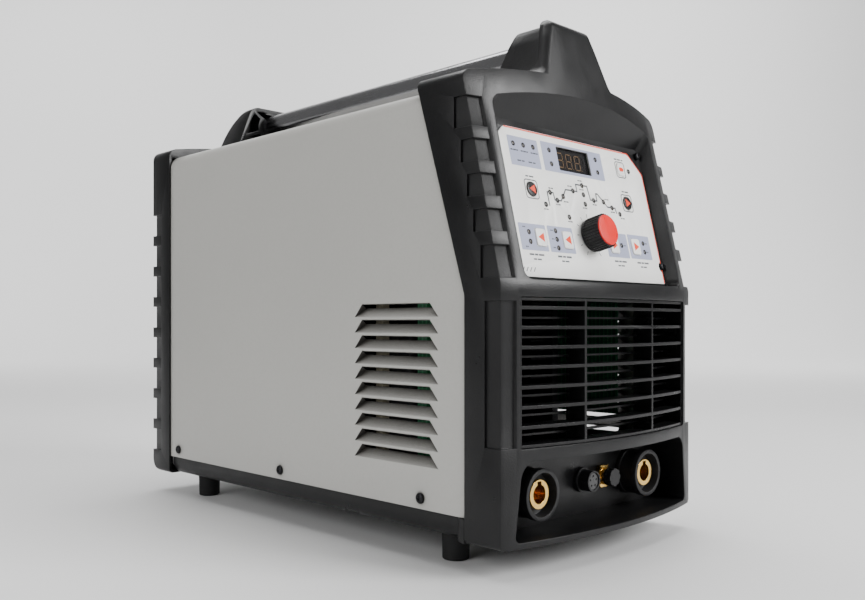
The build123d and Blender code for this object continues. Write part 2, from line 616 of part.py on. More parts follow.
def rear_panel():
    face = outline([(-115.8, 25.5), (115.8, 25.5), (115.8, 335.8), (-115.8, 335.8)], [6, 6, 11, 11])
    panel = across_y(face, REAR_PANEL_Y - 1.5, REAR_PANEL_Y)
    # square air grid inside the guard circle
    disc = rod_y(FAN_R, FAN_X, 200, 220, FAN_Z)
    for k in range(-4, 5):
        for m in range(-4, 5):
            if math.hypot(k, m) * 12 < FAN_R - 7:
                panel -= slab(k * 12 - 5, k * 12 + 5, 200, 220, FAN_Z + m * 12 - 5, FAN_Z + m * 12 + 5) & disc
    for dx in (-52.5, 52.5):
        for dz in (-52.5, 52.5):
            panel -= rod_y(2.3, FAN_X + dx, 200, 220, FAN_Z + dz)
    panel -= slab(SWITCH_X - 14, SWITCH_X + 14, 200, 220, SWITCH_Z - 24, SWITCH_Z + 24)
    panel -= rod_y(10.2, GLAND_X, 200, 220, GLAND_Z)
    panel -= rod_y(6.8, INLET_X, 200, 220, INLET_Z)
    panel -= rod_y(3.1, EARTH_X, 200, 220, EARTH_Z)
    for x, z in REAR_SCREWS:
        panel -= rod_y(2.2, x, 200, 220, z)
    return panel


def fan_frame():
    """120 mm axial fan frame with a four-armed motor mount and a hub spigot."""
    y1 = REAR_PANEL_Y - 1.6
    y0 = y1 - 38
    frame = across_y(Pos(FAN_X, FAN_Z) * RectangleRounded(119, 119, 6), y0, y1)
    frame -= rod_y(57.0, FAN_X, y0 - 1, y1 + 1, FAN_Z)
    for angle in (45, 135, 225, 315):
        arm = Pos(FAN_X, y0 + 2.5, FAN_Z) * Rot(0, -angle, 0) * Pos(38, 0, 0) * Box(42, 5, 6)
        frame += arm & rod_y(58, FAN_X, y0, y0 + 5, FAN_Z)
    frame += rod_y(22, FAN_X, y0, y0 + 5, FAN_Z) + rod_y(6.0, FAN_X, y0 + 4, y0 + 12, FAN_Z)
    frame -= rod_y(2.05, FAN_X, y0 - 1, y0 + 20, FAN_Z)
    for dx in (-52.5, 52.5):
        for dz in (-52.5, 52.5):
            frame -= rod_y(2.3, FAN_X + dx, y0 - 1, y1 + 1, FAN_Z + dz)
    return frame


def fan_rotor():
    """Hub with seven pitched blades on a steel shaft."""
    y0 = REAR_PANEL_Y - 1.6 - 38
    hub = rod_y(20, FAN_X, y0 + 6, y0 + 34, FAN_Z) - rod_y(17, FAN_X, y0 + 5, y0 + 30, FAN_Z)
    hub += rod_y(2.0, FAN_X, y0 + 1, y0 + 31, FAN_Z)
    blades = Part()
    for k in range(7):
        blade = Pos(36.5, 0, 0) * Rot(38, 0, 0) * Box(35.5, 34, 1.8)
        blades += Pos(FAN_X, y0 + 20, FAN_Z) * Rot(0, k * 360 / 7, 0) * blade
    ring = tube_y(54.5, 18.5, FAN_X, y0 + 8, y0 + 33, FAN_Z)
    return hub + (blades & ring)


def fan_guard():
    """Finger guard: flat rings on four arms, standing off the panel on tubular feet."""
    y = REAR_PANEL_Y + 6.0
    guard = rod_y(9, FAN_X, y - 1, y + 1, FAN_Z)
    for radius in (19, 29, 39, 49):
        guard += tube_y(radius + 1.1, radius - 1.1, FAN_X, y - 1, y + 1, FAN_Z)
    for angle in (45, 135, 225, 315):
        cx, cz = math.cos(math.radians(angle)), math.sin(math.radians(angle))
        guard += Pos(FAN_X + 37 * cx, y + 0.2, FAN_Z + 37 * cz) * Rot(0, -angle, 0) * Box(70, 2.4, 2.4)
        eye_x, eye_z = FAN_X + 74.2 * cx, FAN_Z + 74.2 * cz
        guard += rod_y(4.4, eye_x, REAR_PANEL_Y + 0.05, y + 2.9, eye_z)
        guard -= rod_y(2.3, eye_x, 200, 225, eye_z)
    return guard


def switch_frame():
    """Rocker switch housing snapped into the rear panel."""
    x, z, y = SWITCH_X, SWITCH_Z, REAR_PANEL_Y
    frame = slab(x - 16, x + 16, y + 0.1, y + 2.6, z - 26, z + 26)
    frame += slab(x - 13.6, x + 13.6, y - 28, y + 1, z - 23.6, z + 23.6)
    frame -= slab(x - 10.4, x + 10.4, y - 20, y + 5, z - 20.4, z + 20.4)
    frame -= rod_x(1.55, x - 20, x + 20, y - 4, z)
    for dx in (-6, 6):
        for dz in (-12, 0, 12):
            frame += slab(x + dx - 3, x + dx + 3, y - 38, y - 27, z + dz - 0.6, z + dz + 0.6)
    return frame


ROCKER_TILT = 11.0


def switch_rocker():
    """Two-faced rocker on a cross pin, at rest with its lower face pressed in (off)."""
    points = [(-10, -18.6), (3.8, -18.6), (0.6, 0), (3.8, 18.6), (-10, 18.6), (-13.5, 0)]
    face = outline(points, [6, 2, 0, 2, 6, 0])
    body = across_x(face, -10.0, 10.0)
    pin = rod_x(1.5, -12.4, 12.4, 0, 0)
    body = Pos(0, 4.0, 0) * body + pin
    return Pos(SWITCH_X, REAR_PANEL_Y - 4, SWITCH_Z) * Rot(-ROCKER_TILT, 0, 0) * body


def mains_gland():
    x, z, y = GLAND_X, GLAND_Z, REAR_PANEL_Y
    body = hex_y(27, x, y + 0.1, y + 7, z) + rod_y(11.5, x, y + 6.5, y + 12, z)
    body += hex_y(25, x, y + 11.5, y + 20, z) + rod_y(10.0, x, y - 12, y + 1, z)
    body += hex_y(26, x, y - 6.5, y - 1.7, z)
    dome = rod_y(11.8, x, y + 19.5, y + 27, z)
    dome = chamfer(dome.faces().sort_by(Axis.Y)[-1].edges(), 3.4)
    return body + dome - rod_y(8.0, x, y - 20, y + 40, z)


def gland_seal():
    return tube_y(7.9, 6.5, GLAND_X, REAR_PANEL_Y + 3, REAR_PANEL_Y + 27, GLAND_Z)


def gas_inlet():
    """Brass bulkhead fitting with a G1/4 male thread outside and a hose barb inside."""
    x, z, y = INLET_X, INLET_Z, REAR_PANEL_Y
    body = hex_y(19, x, y + 0.1, y + 7, z) + rod_y(6.58, x, y - 14, y + 20, z)
    body += hex_y(18, x, y - 6.5, y - 1.7, z) + rod_y(4.0, x, y - 28, y - 13, z)
    return body - rod_y(2.4, x, y - 30, y + 30, z)


def earth_stud():
    """M6 terminal with a waisted shank through the panel, its washer and two nuts."""
    x, z, y = EARTH_X, EARTH_Z, REAR_PANEL_Y
    stud = rod_y(2.6, x, y - 12, y + 6.3, z) + rod_y(3.0, x, y + 6.2, y + 24, z)
    stud += hex_y(10, x, y + 1.4, y + 6.2, z) + rod_y(6.2, x, y + 0.1, y + 1.5, z)
    return stud + hex_y(10, x, y - 6.6, y - 1.6, z)


# ---- fasteners and feet ----------------------------------------------------
def feet():
    pads = []
    for side in (-1, 1):
        for y in (FOOT_FRONT_Y, FOOT_REAR_Y):
            pad = Pos(side * FOOT_X, y, 0) * Cone(FOOT_R - 0.5, FOOT_R, FOOT_H - 0.1, align=BASE)
            pad = fillet(pad.faces().sort_by(Axis.Z)[0].edges(), 1.0)
            pad -= rod_z(2.7, side * FOOT_X, y, 8, 30)
            pads.append(pad)
    return pads


def foot_screws():
    screws = []
    for side in (-1, 1):
        for y in (FOOT_FRONT_Y, FOOT_REAR_Y):
            x = side * FOOT_X
            screws.append(rod_z(2.5, x, y, 8.2, FOOT_H + 2.7) + rod_z(4.6, x, y, FOOT_H + 2.6, FOOT_H + 5.4))
    return screws


def cover_screws():
    screws = []
    for side in (-1, 1):
        for y in SIDE_SCREWS_Y:
            head = Cylinder(3.9, 2.2, align=BASE)
            head = fillet(head.faces().sort_by(Axis.Z)[-1].edges(), 1.2)
            shank = Pos(0, 0, -7.5) * Cylinder(1.9, 8.0, align=BASE)
            cross = Pos(0, 0, 1.9) * (Box(4.4, 1.0, 1.6) + Box(1.0, 4.4, 1.6))
            screw = head + shank - cross
            screws.append(Pos(side * (COVER_HALF + 0.05), y, SIDE_SCREW_Z) * Rot(0, side * 90, 0) * screw)
    return screws


def panel_screws():
    screws = []
    for x, v in PANEL_SCREWS:
        head = fillet(Cylinder(3.4, 2.0, align=BASE).faces().sort_by(Axis.Z)[-1].edges(), 1.0)
        shank = Pos(0, 0, -6) * Cylinder(1.5, 6.5, align=BASE)
        cross = Pos(0, 0, 1.7) * (Box(3.8, 0.9, 1.6) + Box(0.9, 3.8, 1.6))
        screws.append(on_panel(head + shank - cross, x, v, -PANEL_T - 0.05))
    return screws


def connector_plate_screws():
    return [screw_y(side * 98, CONNECT_Y - 0.05, 31, -1, head_r=3.0, shank_r=1.7, length=7) for side in (-1, 1)]


def fan_screws():
    return [screw_y(FAN_X + dx, REAR_PANEL_Y + 8.95, FAN_Z + dz, 1, head_r=3.8, shank_r=2.0, length=48)
            for dx in (-52.5, 52.5) for dz in (-52.5, 52.5)]


def housing_screws():
    """Screws from inside the rear panel into the rear housing."""
    return [screw_y(x, REAR_PANEL_Y - 1.55, z, -1, head_r=3.4, shank_r=1.5, length=9) for x, z in REAR_SCREWS]


# ---- inside ----------------------------------------------------------------
def deck():
    """Insulating deck between the cooling tunnel and the control electronics."""
    plate = slab(-112.5, 112.5, -150, 166, 204, 206)
    for x in (-96, 96):
        for y in (-85, 10, 110):
            plate += slab(x - 3.5, x + 3.5, y - 4, y + 4, FOOT_H + 2.6, 204.5)
    return plate


def main_board():
    board = slab(-100, 100, -130, 150, 214, 216)
    for x in (-90, 90):
        for y in (-120, 140):
            board += rod_z(3.5, x, y, 206.1, 214.5)
    board += slab(-90, -40, -120, -80, 215.5, 240) + slab(40, 90, 60, 130, 215.5, 246)
    board += slab(-30, 20, -120, -96, 215.5, 232) + slab(56, 92, -110, -60, 215.5, 236)
    return board


def capacitors():
    return [rod_z(17, -70 + 38 * k, y, 216.2, 272) for k in range(3) for y in (10, 50)]


def heat_sink(side):
    """Extruded sink standing in the tunnel: base plate with fins towards the middle."""
    x = side * 78
    sink = slab(x - 4, x + 4, -120, 40, FOOT_H + 7.1, 190)
    for k in range(16):
        z = 66 + 8 * k
        sink += slab(min(x, x - side * 34), max(x, x - side * 34), -120, 40, z, z + 2)
    return sink


def power_modules():
    modules = []
    for side in (-1, 1):
        for y in (-95, -50, -5):
            x = side * 82.2
            modules.append(slab(min(x, x + side * 9), max(x, x + side * 9), y - 15, y + 15, 80, 170))
    return modules


def driver_board():
    """Upright boards beside the louvres: drivers with plug headers and relays on the left, filters on the right."""
    board = slab(-99.0, -97.4, -172, -128, 70, 196)
    for z in (88, 112, 136, 160, 182):
        board += slab(-105.5, -98.9, -166, -156, z, z + 8) + slab(-107, -98.9, -146, -138, z - 4, z + 5)
    return board


def filter_board():
    board = slab(97.4, 99.0, -172, -92, 92, 196)
    for z in (100, 128, 156):
        board += slab(98.9, 106.5, -166, -142, z, z + 16) + slab(98.9, 104.5, -132, -104, z + 2, z + 18)
    return board


def transformer_core():
    x0, x1, y0, y1, z0, z1 = -40, 40, 62, 128, 34, 116
    core = slab(x0, x1, y0, y1, z0, z1)
    for side in (-1, 1):
        core -= slab(min(side * 12, side * 28), max(side * 12, side * 28), y0 - 1, y1 + 1, z0 + 14, z1 - 14)
    return core + slab(x0 - 8, x1 + 8, y0 + 8, y1 - 8, FOOT_H + 7.1, z0 + 0.5)


def transformer_winding():
    coil = extrude(Pos(0, 95, 48.5) * RectangleRounded(55, 90, 6), amount=53)
    return coil - slab(-12.3, 12.3, 61.5, 128.5, 40, 110)


def output_choke():
    core = Pos(-62, 100, 58) * Rot(0, 90, 0) * (Cylinder(30, 20) - Cylinder(13, 30))
    return core + slab(-75, -49, 84, 116, FOOT_H + 7.1, 31)


def hf_coil():
    """Ignition coil on its former, behind the negative socket."""
    former = rod_y(13, -SOCKET_X, -150, -128, 44) - rod_y(7, -SOCKET_X, -160, -120, 44)
    for y in (-149, -142, -135, -129):
        former += tube_y(17, 12.5, -SOCKET_X, y - 2.4, y + 2.4, 44)
    return former + slab(-SOCKET_X - 12, -SOCKET_X + 12, -148, -130, FOOT_H + 7.1, 32)


def gas_valve():
    """Solenoid valve: brass body with a wound coil on top."""
    body = slab(60, 84, 118, 148, 66, 94) + rod_z(8, 72, 133, 93, 100) + slab(58, 86, 119, 147, 99.5, 134)
    return body + rod_y(4.0, 72, 148, 160, 80) + rod_y(4.0, 72, 106, 118, 80) + slab(57, 82, 122, 144, FOOT_H + 7.1, 66.5)


def hose(points, radii, r_out=6.0, r_in=4.05):
    path = FilletPolyline(*points, radius=radii) if radii else Polyline(*points)
    start = Plane(origin=path @ 0, z_dir=path % 0)
    return sweep(start * (Circle(r_out) - Circle(r_in)), path=path)


def gas_hose_inlet():
    y_end = REAR_PANEL_Y - 15
    return hose([(INLET_X, y_end, INLET_Z), (INLET_X, y_end - 16, INLET_Z), (72, 164.5, 80), (72, 149, 80)], [12, 12])


def gas_hose_outlet():
    """Runs from the valve along the tray to the gas outlet in the chin."""
    points = [(72, 117, 80), (72, 92, 80), (106.8, 60, 60), (106.8, -120, 60), (GAS_X + 10, -152, CONNECT_Z),
              (GAS_X, CONNECT_Y + 31, CONNECT_Z), (GAS_X, CONNECT_Y + 14.5, CONNECT_Z)]
    return hose(points, [24, 30, 30, 40, 12])


def busbar(x, side):
    z = CONNECT_Z
    y = CONNECT_Y + 19.2
    bar = slab(x - 9, x + 9, y, y + 2.5, z - 10, z + 9.8) + slab(x - 9, x + 9, y, y + 22, z - 12.4, z - 9.9)
    return bar - rod_y(6.05, x, y - 3, y + 8, z)


def busbars():
    return [busbar(-SOCKET_X, -1), busbar(SOCKET_X, 1)]


# ---- build and write -------------------------------------------------------
def nodes():
    yield "cover", cover()
    yield "base_tray", base_tray()
    yield "front_bezel", front_bezel()
    yield "front_grille", front_grille()
    yield "control_plate", control_plate()
    yield "display_window", display_window()
    yield "display_digits", display_digits()
    yield "status_leds", status_leds()
    yield "control_board", control_board()
    for name in KEYS:
        yield name, key(name)
    yield "encoder", encoder()
    yield "encoder_shaft", encoder_shaft()
    yield "knob", knob()
    yield "knob_cap", knob_cap()
    yield "connector_plate", connector_plate()
    yield "socket_shells", [socket_shell(-SOCKET_X), socket_shell(SOCKET_X)]
    yield "socket_contacts", [socket_contact(-SOCKET_X), socket_contact(SOCKET_X)]
    yield "control_socket", control_socket()
    yield "control_socket_face", control_socket_face()
    yield "gas_outlet", gas_outlet()
    yield "gas_outlet_cap", gas_outlet_cap()
    yield "carry_tube", carry_tube()
    yield "rear_housing", rear_housing()
    yield "rear_panel", rear_panel()
    yield "fan_frame", fan_frame()
    yield "fan_rotor", fan_rotor()
    yield "fan_guard", fan_guard()
    yield "switch_frame", switch_frame()
    yield "switch_rocker", switch_rocker()
    yield "mains_gland", mains_gland()
    yield "gland_seal", gland_seal()
    yield "gas_inlet", gas_inlet()
    yield "earth_stud", earth_stud()
    yield "feet", feet()
    yield "foot_screws", foot_screws()
    yield "cover_screws", cover_screws()
    yield "front_screws", panel_screws() + connector_plate_screws()
    yield "rear_screws", fan_screws() + housing_screws()
    yield "deck", deck()
    yield "main_board", main_board()
    yield "capacitors", capacitors()
    yield "heat_sinks", [heat_sink(-1), heat_sink(1)]
    yield "power_modules", power_modules()
    yield "driver_board", [driver_board(), filter_board()]
    yield "transformer_core", transformer_core()
    yield "transformer_winding", transformer_winding()
    yield "output_choke", output_choke()
    yield "hf_coil", hf_coil()
    yield "gas_valve", gas_valve()
    yield "gas_hose_inlet", gas_hose_inlet()
    yield "gas_hose_outlet", gas_hose_outlet()
    yield "busbars", busbars()


def main():
    os.makedirs("parts", exist_ok=True)
    for name, shape in nodes():
        if isinstance(shape, list):
            shape = Compound(children=[Solid(s.solid().wrapped) for s in shape])
        export_step(shape, f"parts/{name}.step")


main()
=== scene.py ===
import json
import math

import bmesh
import bpy
from mathutils import Matrix, Vector


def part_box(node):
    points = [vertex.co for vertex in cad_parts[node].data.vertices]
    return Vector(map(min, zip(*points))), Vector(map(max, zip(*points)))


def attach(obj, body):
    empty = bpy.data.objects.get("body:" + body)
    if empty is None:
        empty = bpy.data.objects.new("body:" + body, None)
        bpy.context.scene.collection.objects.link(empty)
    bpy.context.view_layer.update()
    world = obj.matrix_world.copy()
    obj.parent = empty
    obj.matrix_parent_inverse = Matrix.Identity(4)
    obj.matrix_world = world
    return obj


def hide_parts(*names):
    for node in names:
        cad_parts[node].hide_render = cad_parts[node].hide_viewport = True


bl_info = {
    "name": "Welding Power Source",
    "version": (1, 0, 0),
    "blender": (4, 5, 0),
    "location": "View3D > Sidebar > Welder",
    "description": "Builds the finishes, controls, connectors and stage of a portable welding power source",
    "category": "Object",
}

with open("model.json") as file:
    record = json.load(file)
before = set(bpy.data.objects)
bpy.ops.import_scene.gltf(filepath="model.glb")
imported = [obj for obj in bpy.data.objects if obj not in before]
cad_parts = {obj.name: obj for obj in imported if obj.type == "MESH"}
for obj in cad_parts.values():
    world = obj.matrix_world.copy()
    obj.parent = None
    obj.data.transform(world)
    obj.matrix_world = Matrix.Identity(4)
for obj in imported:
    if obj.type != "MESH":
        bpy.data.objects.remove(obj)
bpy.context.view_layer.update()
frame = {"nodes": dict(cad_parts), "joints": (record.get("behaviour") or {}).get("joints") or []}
NODES = frame["nodes"]
JOINTS = {joint["name"]: joint for joint in frame["joints"]}
MM = 0.001
GRIP_RIBS = 36
WELD = 1e-6
STAMP_SMOOTH = 38

# The control panel's plane, from the dial's hinge: x across, v up the slope, w out of it.
DIAL_V = 40.8
PANEL_OUT = Vector(JOINTS["dial_turn"]["axis"]).normalized()
PANEL_UP = Vector((0.0, PANEL_OUT.z, -PANEL_OUT.y))
PANEL_ORIGIN = Vector(JOINTS["dial_turn"]["pos_m"]) - PANEL_UP * DIAL_V * MM
PANEL = Matrix.Translation(PANEL_ORIGIN) @ Matrix((
    (1, PANEL_UP.x, PANEL_OUT.x, 0),
    (0, PANEL_UP.y, PANEL_OUT.y, 0),
    (0, PANEL_UP.z, PANEL_OUT.z, 0),
    (0, 0, 0, 1),
))

# Lamp centres and, below, the window's centre and size, as x and v in millimetres.
LAMPS = [
    (-72.8, 105.2), (-61.6, 105.2), (-50.5, 105.2), (-31.5, 105.8), (-31.5, 94.9), (27.1, 105.9),
    (27.1, 95.2), (72.5, 101.6), (-22.2, 54.1), (-73.8, 39.0), (-73.8, 32.0), (-42.8, 42.0),
    (-42.8, 35.5), (-42.8, 29.0), (39.7, 36.0), (71.4, 39.6), (71.4, 32.3), (-47.7, 61.7),
    (-40.2, 71.7), (-33.0, 66.2), (-25.0, 70.0), (-11.2, 75.9), (1.8, 81.6), (1.6, 74.1),
    (1.6, 66.5), (13.9, 70.7), (26.8, 70.8), (37.1, 66.9), (46.8, 62.4),
]
WINDOW = (-2.2, 100.7, 40.6, 19.2)
DIGIT_CENTRES = (-16.4, -5.6, 5.2)
DIGIT_SIZE = (6.4, 11.4)
# Key body: width, height, round face, mark on it.
KEYS = {
    "gas_test": (9.6, 10.2, False, "dot"),
    "step_back": (11.0, 11.0, True, "left"),
    "step_forward": (11.0, 11.0, True, "right"),
    "polarity": (11.4, 13.2, False, "left"),
    "process": (11.4, 13.2, False, "left"),
    "pulse": (11.4, 13.2, False, "right"),
    "trigger": (11.4, 13.2, False, "right"),
}
# Printed colour blocks on the panel: x0, x1, v0, v1.
BLOCKS = [
    (-78.5, -44.8, 88.6, 111.0), (-40.6, 35.4, 88.8, 111.9), (-84.4, -54.6, 25.6, 45.2),
    (-52.3, -22.7, 25.6, 45.4), (19.6, 48.4, 25.8, 45.7), (50.4, 81.0, 26.0, 46.0),
]
# The printed output curve.
WAVE = [
    (-43.6, 61.0), (-43.6, 71.7), (-36.6, 71.7), (-36.0, 66.2), (-28.6, 66.2), (-25.0, 70.0), (-20.6, 75.9),
    (-6.2, 75.9), (-6.2, 81.6), (8.0, 81.6), (9.6, 70.7), (18.0, 70.7), (18.2, 76.6), (20.4, 76.6),
    (26.8, 70.8), (31.0, 66.9), (41.4, 66.9), (42.2, 62.4),
]


def key_place(name):
    """Centre of a key on the panel, as x and v in millimetres."""
    local = PANEL.inverted() @ Vector(JOINTS[name + "_press"]["pos_m"])
    return local.x / MM, local.y / MM


def new_object(name, data):
    made = bpy.data.objects.new(name, data)
    bpy.context.scene.collection.objects.link(made)
    return made


def evaluated_mesh(carrier):
    """The mesh that an object's curve or modifiers make; the object is then removed."""
    bpy.context.view_layer.update()
    mesh = bpy.data.meshes.new_from_object(carrier.evaluated_get(bpy.context.evaluated_depsgraph_get()))
    carrier.modifiers.clear()
    bpy.data.objects.remove(carrier)
    return mesh


def add_node(tree, kind, inputs=None, **settings):
    """Add a node, then set or link its inputs by name."""
    made = tree.nodes.new(kind)
    for key, value in settings.items():
        setattr(made, key, value)
    for key, value in (inputs or {}).items():
        if isinstance(value, bpy.types.NodeSocket):
            tree.links.new(value, made.inputs[key])
        else:
            made.inputs[key].default_value = value
    return made


def shade(colour, factor):
    return tuple(c * factor for c in colour)


# ---- materials
class Finish:
    """A material under construction, with short ways to add and join nodes."""

    def __init__(self, name, colour, roughness, metallic=0.0):
        self.material = bpy.data.materials.new(name)
        self.material.use_nodes = True
        self.tree = self.material.node_tree
        self.shader = self.tree.nodes["Principled BSDF"]
        self.set(Base_Color=(*colour, 1.0), Roughness=roughness, Metallic=metallic)
        self.coords = self.tree.nodes.new("ShaderNodeTexCoord").outputs["Object"]
        self.normal = None

    def node(self, kind, inputs=None, **settings):
        return add_node(self.tree, kind, inputs, **settings)

    def set(self, **values):
        for key, value in values.items():
            self.shader.inputs[key.replace("_", " ")].default_value = value

    def link(self, source, target):
        self.tree.links.new(source, target)

    def noise(self, scale, detail=3.0, stretch=None, roughness=0.55):
        made = self.node("ShaderNodeTexNoise", {"Scale": scale, "Detail": detail, "Roughness": roughness})
        where = self.coords
        if stretch:
            where = self.node("ShaderNodeMapping", {"Scale": stretch, "Vector": where}).outputs["Vector"]
        self.link(where, made.inputs["Vector"])
        return made.outputs["Fac"]

    def cells(self, scale):
        inputs = {"Scale": scale, "Vector": self.coords}
        return self.node("ShaderNodeTexVoronoi", inputs).outputs["Distance"]

    def spread(self, source, low, high, start=0.3, end=0.7):
        limits = {"From Min": start, "From Max": end, "To Min": low, "To Max": high}
        return self.node("ShaderNodeMapRange", {**limits, "Value": source}).outputs["Result"]

    def vary_colour(self, source, other, start=0.35, end=0.75, amount=1.0):
        current = self.shader.inputs["Base Color"]
        first = current.links[0].from_socket if current.is_linked else current.default_value
        mix = self.node("ShaderNodeMix", {"A": first, "B": (*other, 1.0)}, data_type="RGBA")
        self.link(self.spread(source, 0.0, amount, start, end), mix.inputs["Factor"])
        self.link(mix.outputs["Result"], current)

    def vary_roughness(self, source, low, high, start=0.3, end=0.7):
        self.link(self.spread(source, low, high, start, end), self.shader.inputs["Roughness"])

    def bend(self, normal):
        self.normal = normal
        self.link(normal, self.shader.inputs["Normal"])

    def soft_edges(self, radius, samples=4):
        self.bend(self.node("ShaderNodeBevel", {"Radius": radius}, samples=samples).outputs["Normal"])

    def painted_shade_in_recesses(self, colour, reach, amount):
        """Painted shade: darker colour where ambient occlusion finds the surface closed in."""
        ao_shade = self.node("ShaderNodeAmbientOcclusion", {"Distance": reach}, samples=4)
        self.vary_colour(ao_shade.outputs["AO"], colour, 0.97, 0.6, amount)

    def bump(self, source, strength, distance):
        inputs = {"Strength": strength, "Distance": distance, "Height": source}
        if self.normal is not None:
            inputs["Normal"] = self.normal
        self.bend(self.node("ShaderNodeBump", inputs).outputs["Normal"])


def moulded_plastic(name, colour, roughness=0.45, grain=900.0, edge=0.0009, strength=0.35):
    """Spark-textured moulding: fine pebble grain, uneven sheen, a little dust in the broad areas."""
    finish = Finish(name, colour, roughness)
    finish.set(Specular_IOR_Level=0.3)
    finish.soft_edges(edge)
    lighter = tuple(min(1.0, c * 1.4 + 0.004) for c in colour)
    finish.vary_colour(finish.noise(9.0, 5.0), lighter, 0.45, 0.8, 0.5)
    finish.vary_colour(finish.cells(grain), shade(colour, 0.6), 0.2, 0.7, 0.5)
    finish.vary_roughness(finish.noise(26.0, 4.0), roughness - 0.07, roughness + 0.1)
    finish.bump(finish.noise(grain * 0.35, 2.0), strength * 0.5, 0.0002)
    finish.bump(finish.cells(grain), strength, 0.00014)
    return finish.material


def gloss_plastic(name, colour, roughness=0.22, edge=0.0004):
    """Polished moulding with faint flow marks and fingerprints in its gloss."""
    finish = Finish(name, colour, roughness)
    finish.soft_edges(edge)
    finish.vary_colour(finish.noise(40.0, 3.0), shade(colour, 0.86), 0.4, 0.8, 0.5)
    finish.vary_roughness(finish.noise(130.0, 4.0), roughness - 0.06, roughness + 0.12)
    finish.bump(finish.noise(420.0, 2.0), 0.05, 0.0002)
    return finish.material


def enamel(name, colour):
    """Baked enamel on sheet steel: orange peel, slow shade drift, light scuffs."""
    finish = Finish(name, colour, 0.34)
    finish.set(Coat_Weight=0.25)
    finish.set(Coat_Roughness=0.28)
    finish.soft_edges(0.0008)
    finish.vary_colour(finish.noise(3.2, 3.0), shade(colour, 0.93), 0.35, 0.7, 0.8)
    finish.vary_colour(finish.noise(520.0, 2.0), shade(colour, 0.9), 0.45, 0.75, 0.5)
    finish.vary_colour(finish.noise(60.0, 6.0, (1.0, 0.12, 1.0)), shade(colour, 0.8), 0.68, 0.8, 0.3)
    # Painted shade: ambient occlusion darkens the enamel in recesses and on the louvre blades.
    finish.painted_shade_in_recesses((0.03, 0.027, 0.023), 0.026, 1.0)
    finish.vary_roughness(finish.noise(55.0, 5.0), 0.28, 0.42)
    finish.bump(finish.noise(430.0, 1.0), 0.16, 0.00022)
    return finish.material


def brushed_metal(name, colour, roughness=0.3, stretch=(14.0, 1.0, 1.0), edge=0.0004, wear=0.7):
    """Machined or rolled metal with drawn scratches along one way and dull patches."""
    finish = Finish(name, colour, roughness, metallic=1.0)
    finish.soft_edges(edge)
    lines = finish.noise(240.0, 6.0, stretch, 0.7)
    finish.vary_colour(lines, shade(colour, wear), 0.4, 0.7, 0.55)
    finish.vary_colour(finish.noise(30.0, 4.0), shade(colour, 0.78), 0.5, 0.8, 0.5)
    finish.vary_roughness(lines, roughness - 0.08, roughness + 0.16)
    finish.bump(lines, 0.12, 0.0001)
    return finish.material


def rubber(name, colour=(0.009, 0.009, 0.0095)):
    finish = Finish(name, colour, 0.68)
    finish.set(Specular_IOR_Level=0.25)
    finish.soft_edges(0.0007)
    finish.vary_colour(finish.noise(70.0, 5.0), (0.03, 0.029, 0.028), 0.5, 0.85, 0.5)
    finish.vary_roughness(finish.noise(45.0, 3.0), 0.58, 0.8)
    finish.bump(finish.noise(900.0, 2.0), 0.3, 0.00016)
    return finish.material


def overlay(name, colour, roughness=0.36):
    """Printed polyester film: very fine matt tooth over an even colour."""
    finish = Finish(name, colour, roughness)
    finish.vary_colour(finish.noise(35.0, 4.0), shade(colour, 0.93), 0.42, 0.8, 0.45)
    finish.vary_roughness(finish.noise(90.0, 3.0), roughness - 0.05, roughness + 0.08)
    finish.bump(finish.cells(2600.0), 0.08, 0.00005)
    return finish.material


def laminate(name, colour):
    """Circuit board: solder mask with tracks and pads showing through."""
    finish = Finish(name, colour, 0.35)
    red, green, blue = colour
    brick = finish.node("ShaderNodeTexBrick", {
        "Scale": 60.0, "Mortar Size": 0.03, "Color1": (*colour, 1), "Color2": (*shade(colour, 0.8), 1),
        "Mortar": (red + 0.03, green + 0.12, blue + 0.05, 1), "Vector": finish.coords})
    finish.link(brick.outputs["Color"], finish.shader.inputs["Base Color"])
    finish.vary_colour(finish.cells(240.0), (0.5, 0.5, 0.46), 0.1, 0.02, 0.8)
    finish.bump(brick.outputs["Fac"], 0.2, 0.0001)
    return finish.material


def wound_wire(name, colour=(0.42, 0.13, 0.03)):
    """Enamelled wire laid side by side."""
    finish = Finish(name, colour, 0.28, metallic=0.8)
    wave = finish.node("ShaderNodeTexWave", {
        "Scale": 95.0, "Distortion": 0.6, "Vector": finish.coords}, bands_direction="Z")
    finish.vary_colour(wave.outputs["Fac"], shade(colour, 0.3), 0.0, 0.4, 0.9)
    finish.vary_roughness(finish.noise(80.0, 3.0), 0.2, 0.4)
    finish.bump(wave.outputs["Fac"], 0.8, 0.0006)
    return finish.material


def smoked_glass(name):
    finish = Finish(name, (0.012, 0.011, 0.012), 0.07)
    finish.set(Transmission_Weight=0.0)
    finish.set(Alpha=0.25)
    finish.vary_roughness(finish.noise(60.0, 3.0), 0.04, 0.14)
    finish.bump(finish.noise(200.0, 1.0), 0.02, 0.0001)
    return finish.material


def lamp_lens(name):
    """Unlit indicator: dark diffusing lens with a warm core."""
    finish = Finish(name, (0.008, 0.006, 0.005), 0.24)
    finish.set(Coat_Weight=0.15)
    finish.vary_colour(finish.cells(300.0), (0.045, 0.026, 0.012), 0.5, 0.2, 0.6)
    finish.vary_roughness(finish.noise(300.0, 2.0), 0.2, 0.34)
    finish.bump(finish.noise(600.0, 2.0), 0.05, 0.0001)
    return finish.material


def pale_floor(name, colour):
    finish = Finish(name, colour, 0.6)
    finish.vary_colour(finish.noise(0.8, 2.0), shade(colour, 0.97), 0.3, 0.7, 1.0)
    finish.bump(finish.noise(120.0, 2.0), 0.03, 0.0004)
    return finish.material


MATERIALS = {}


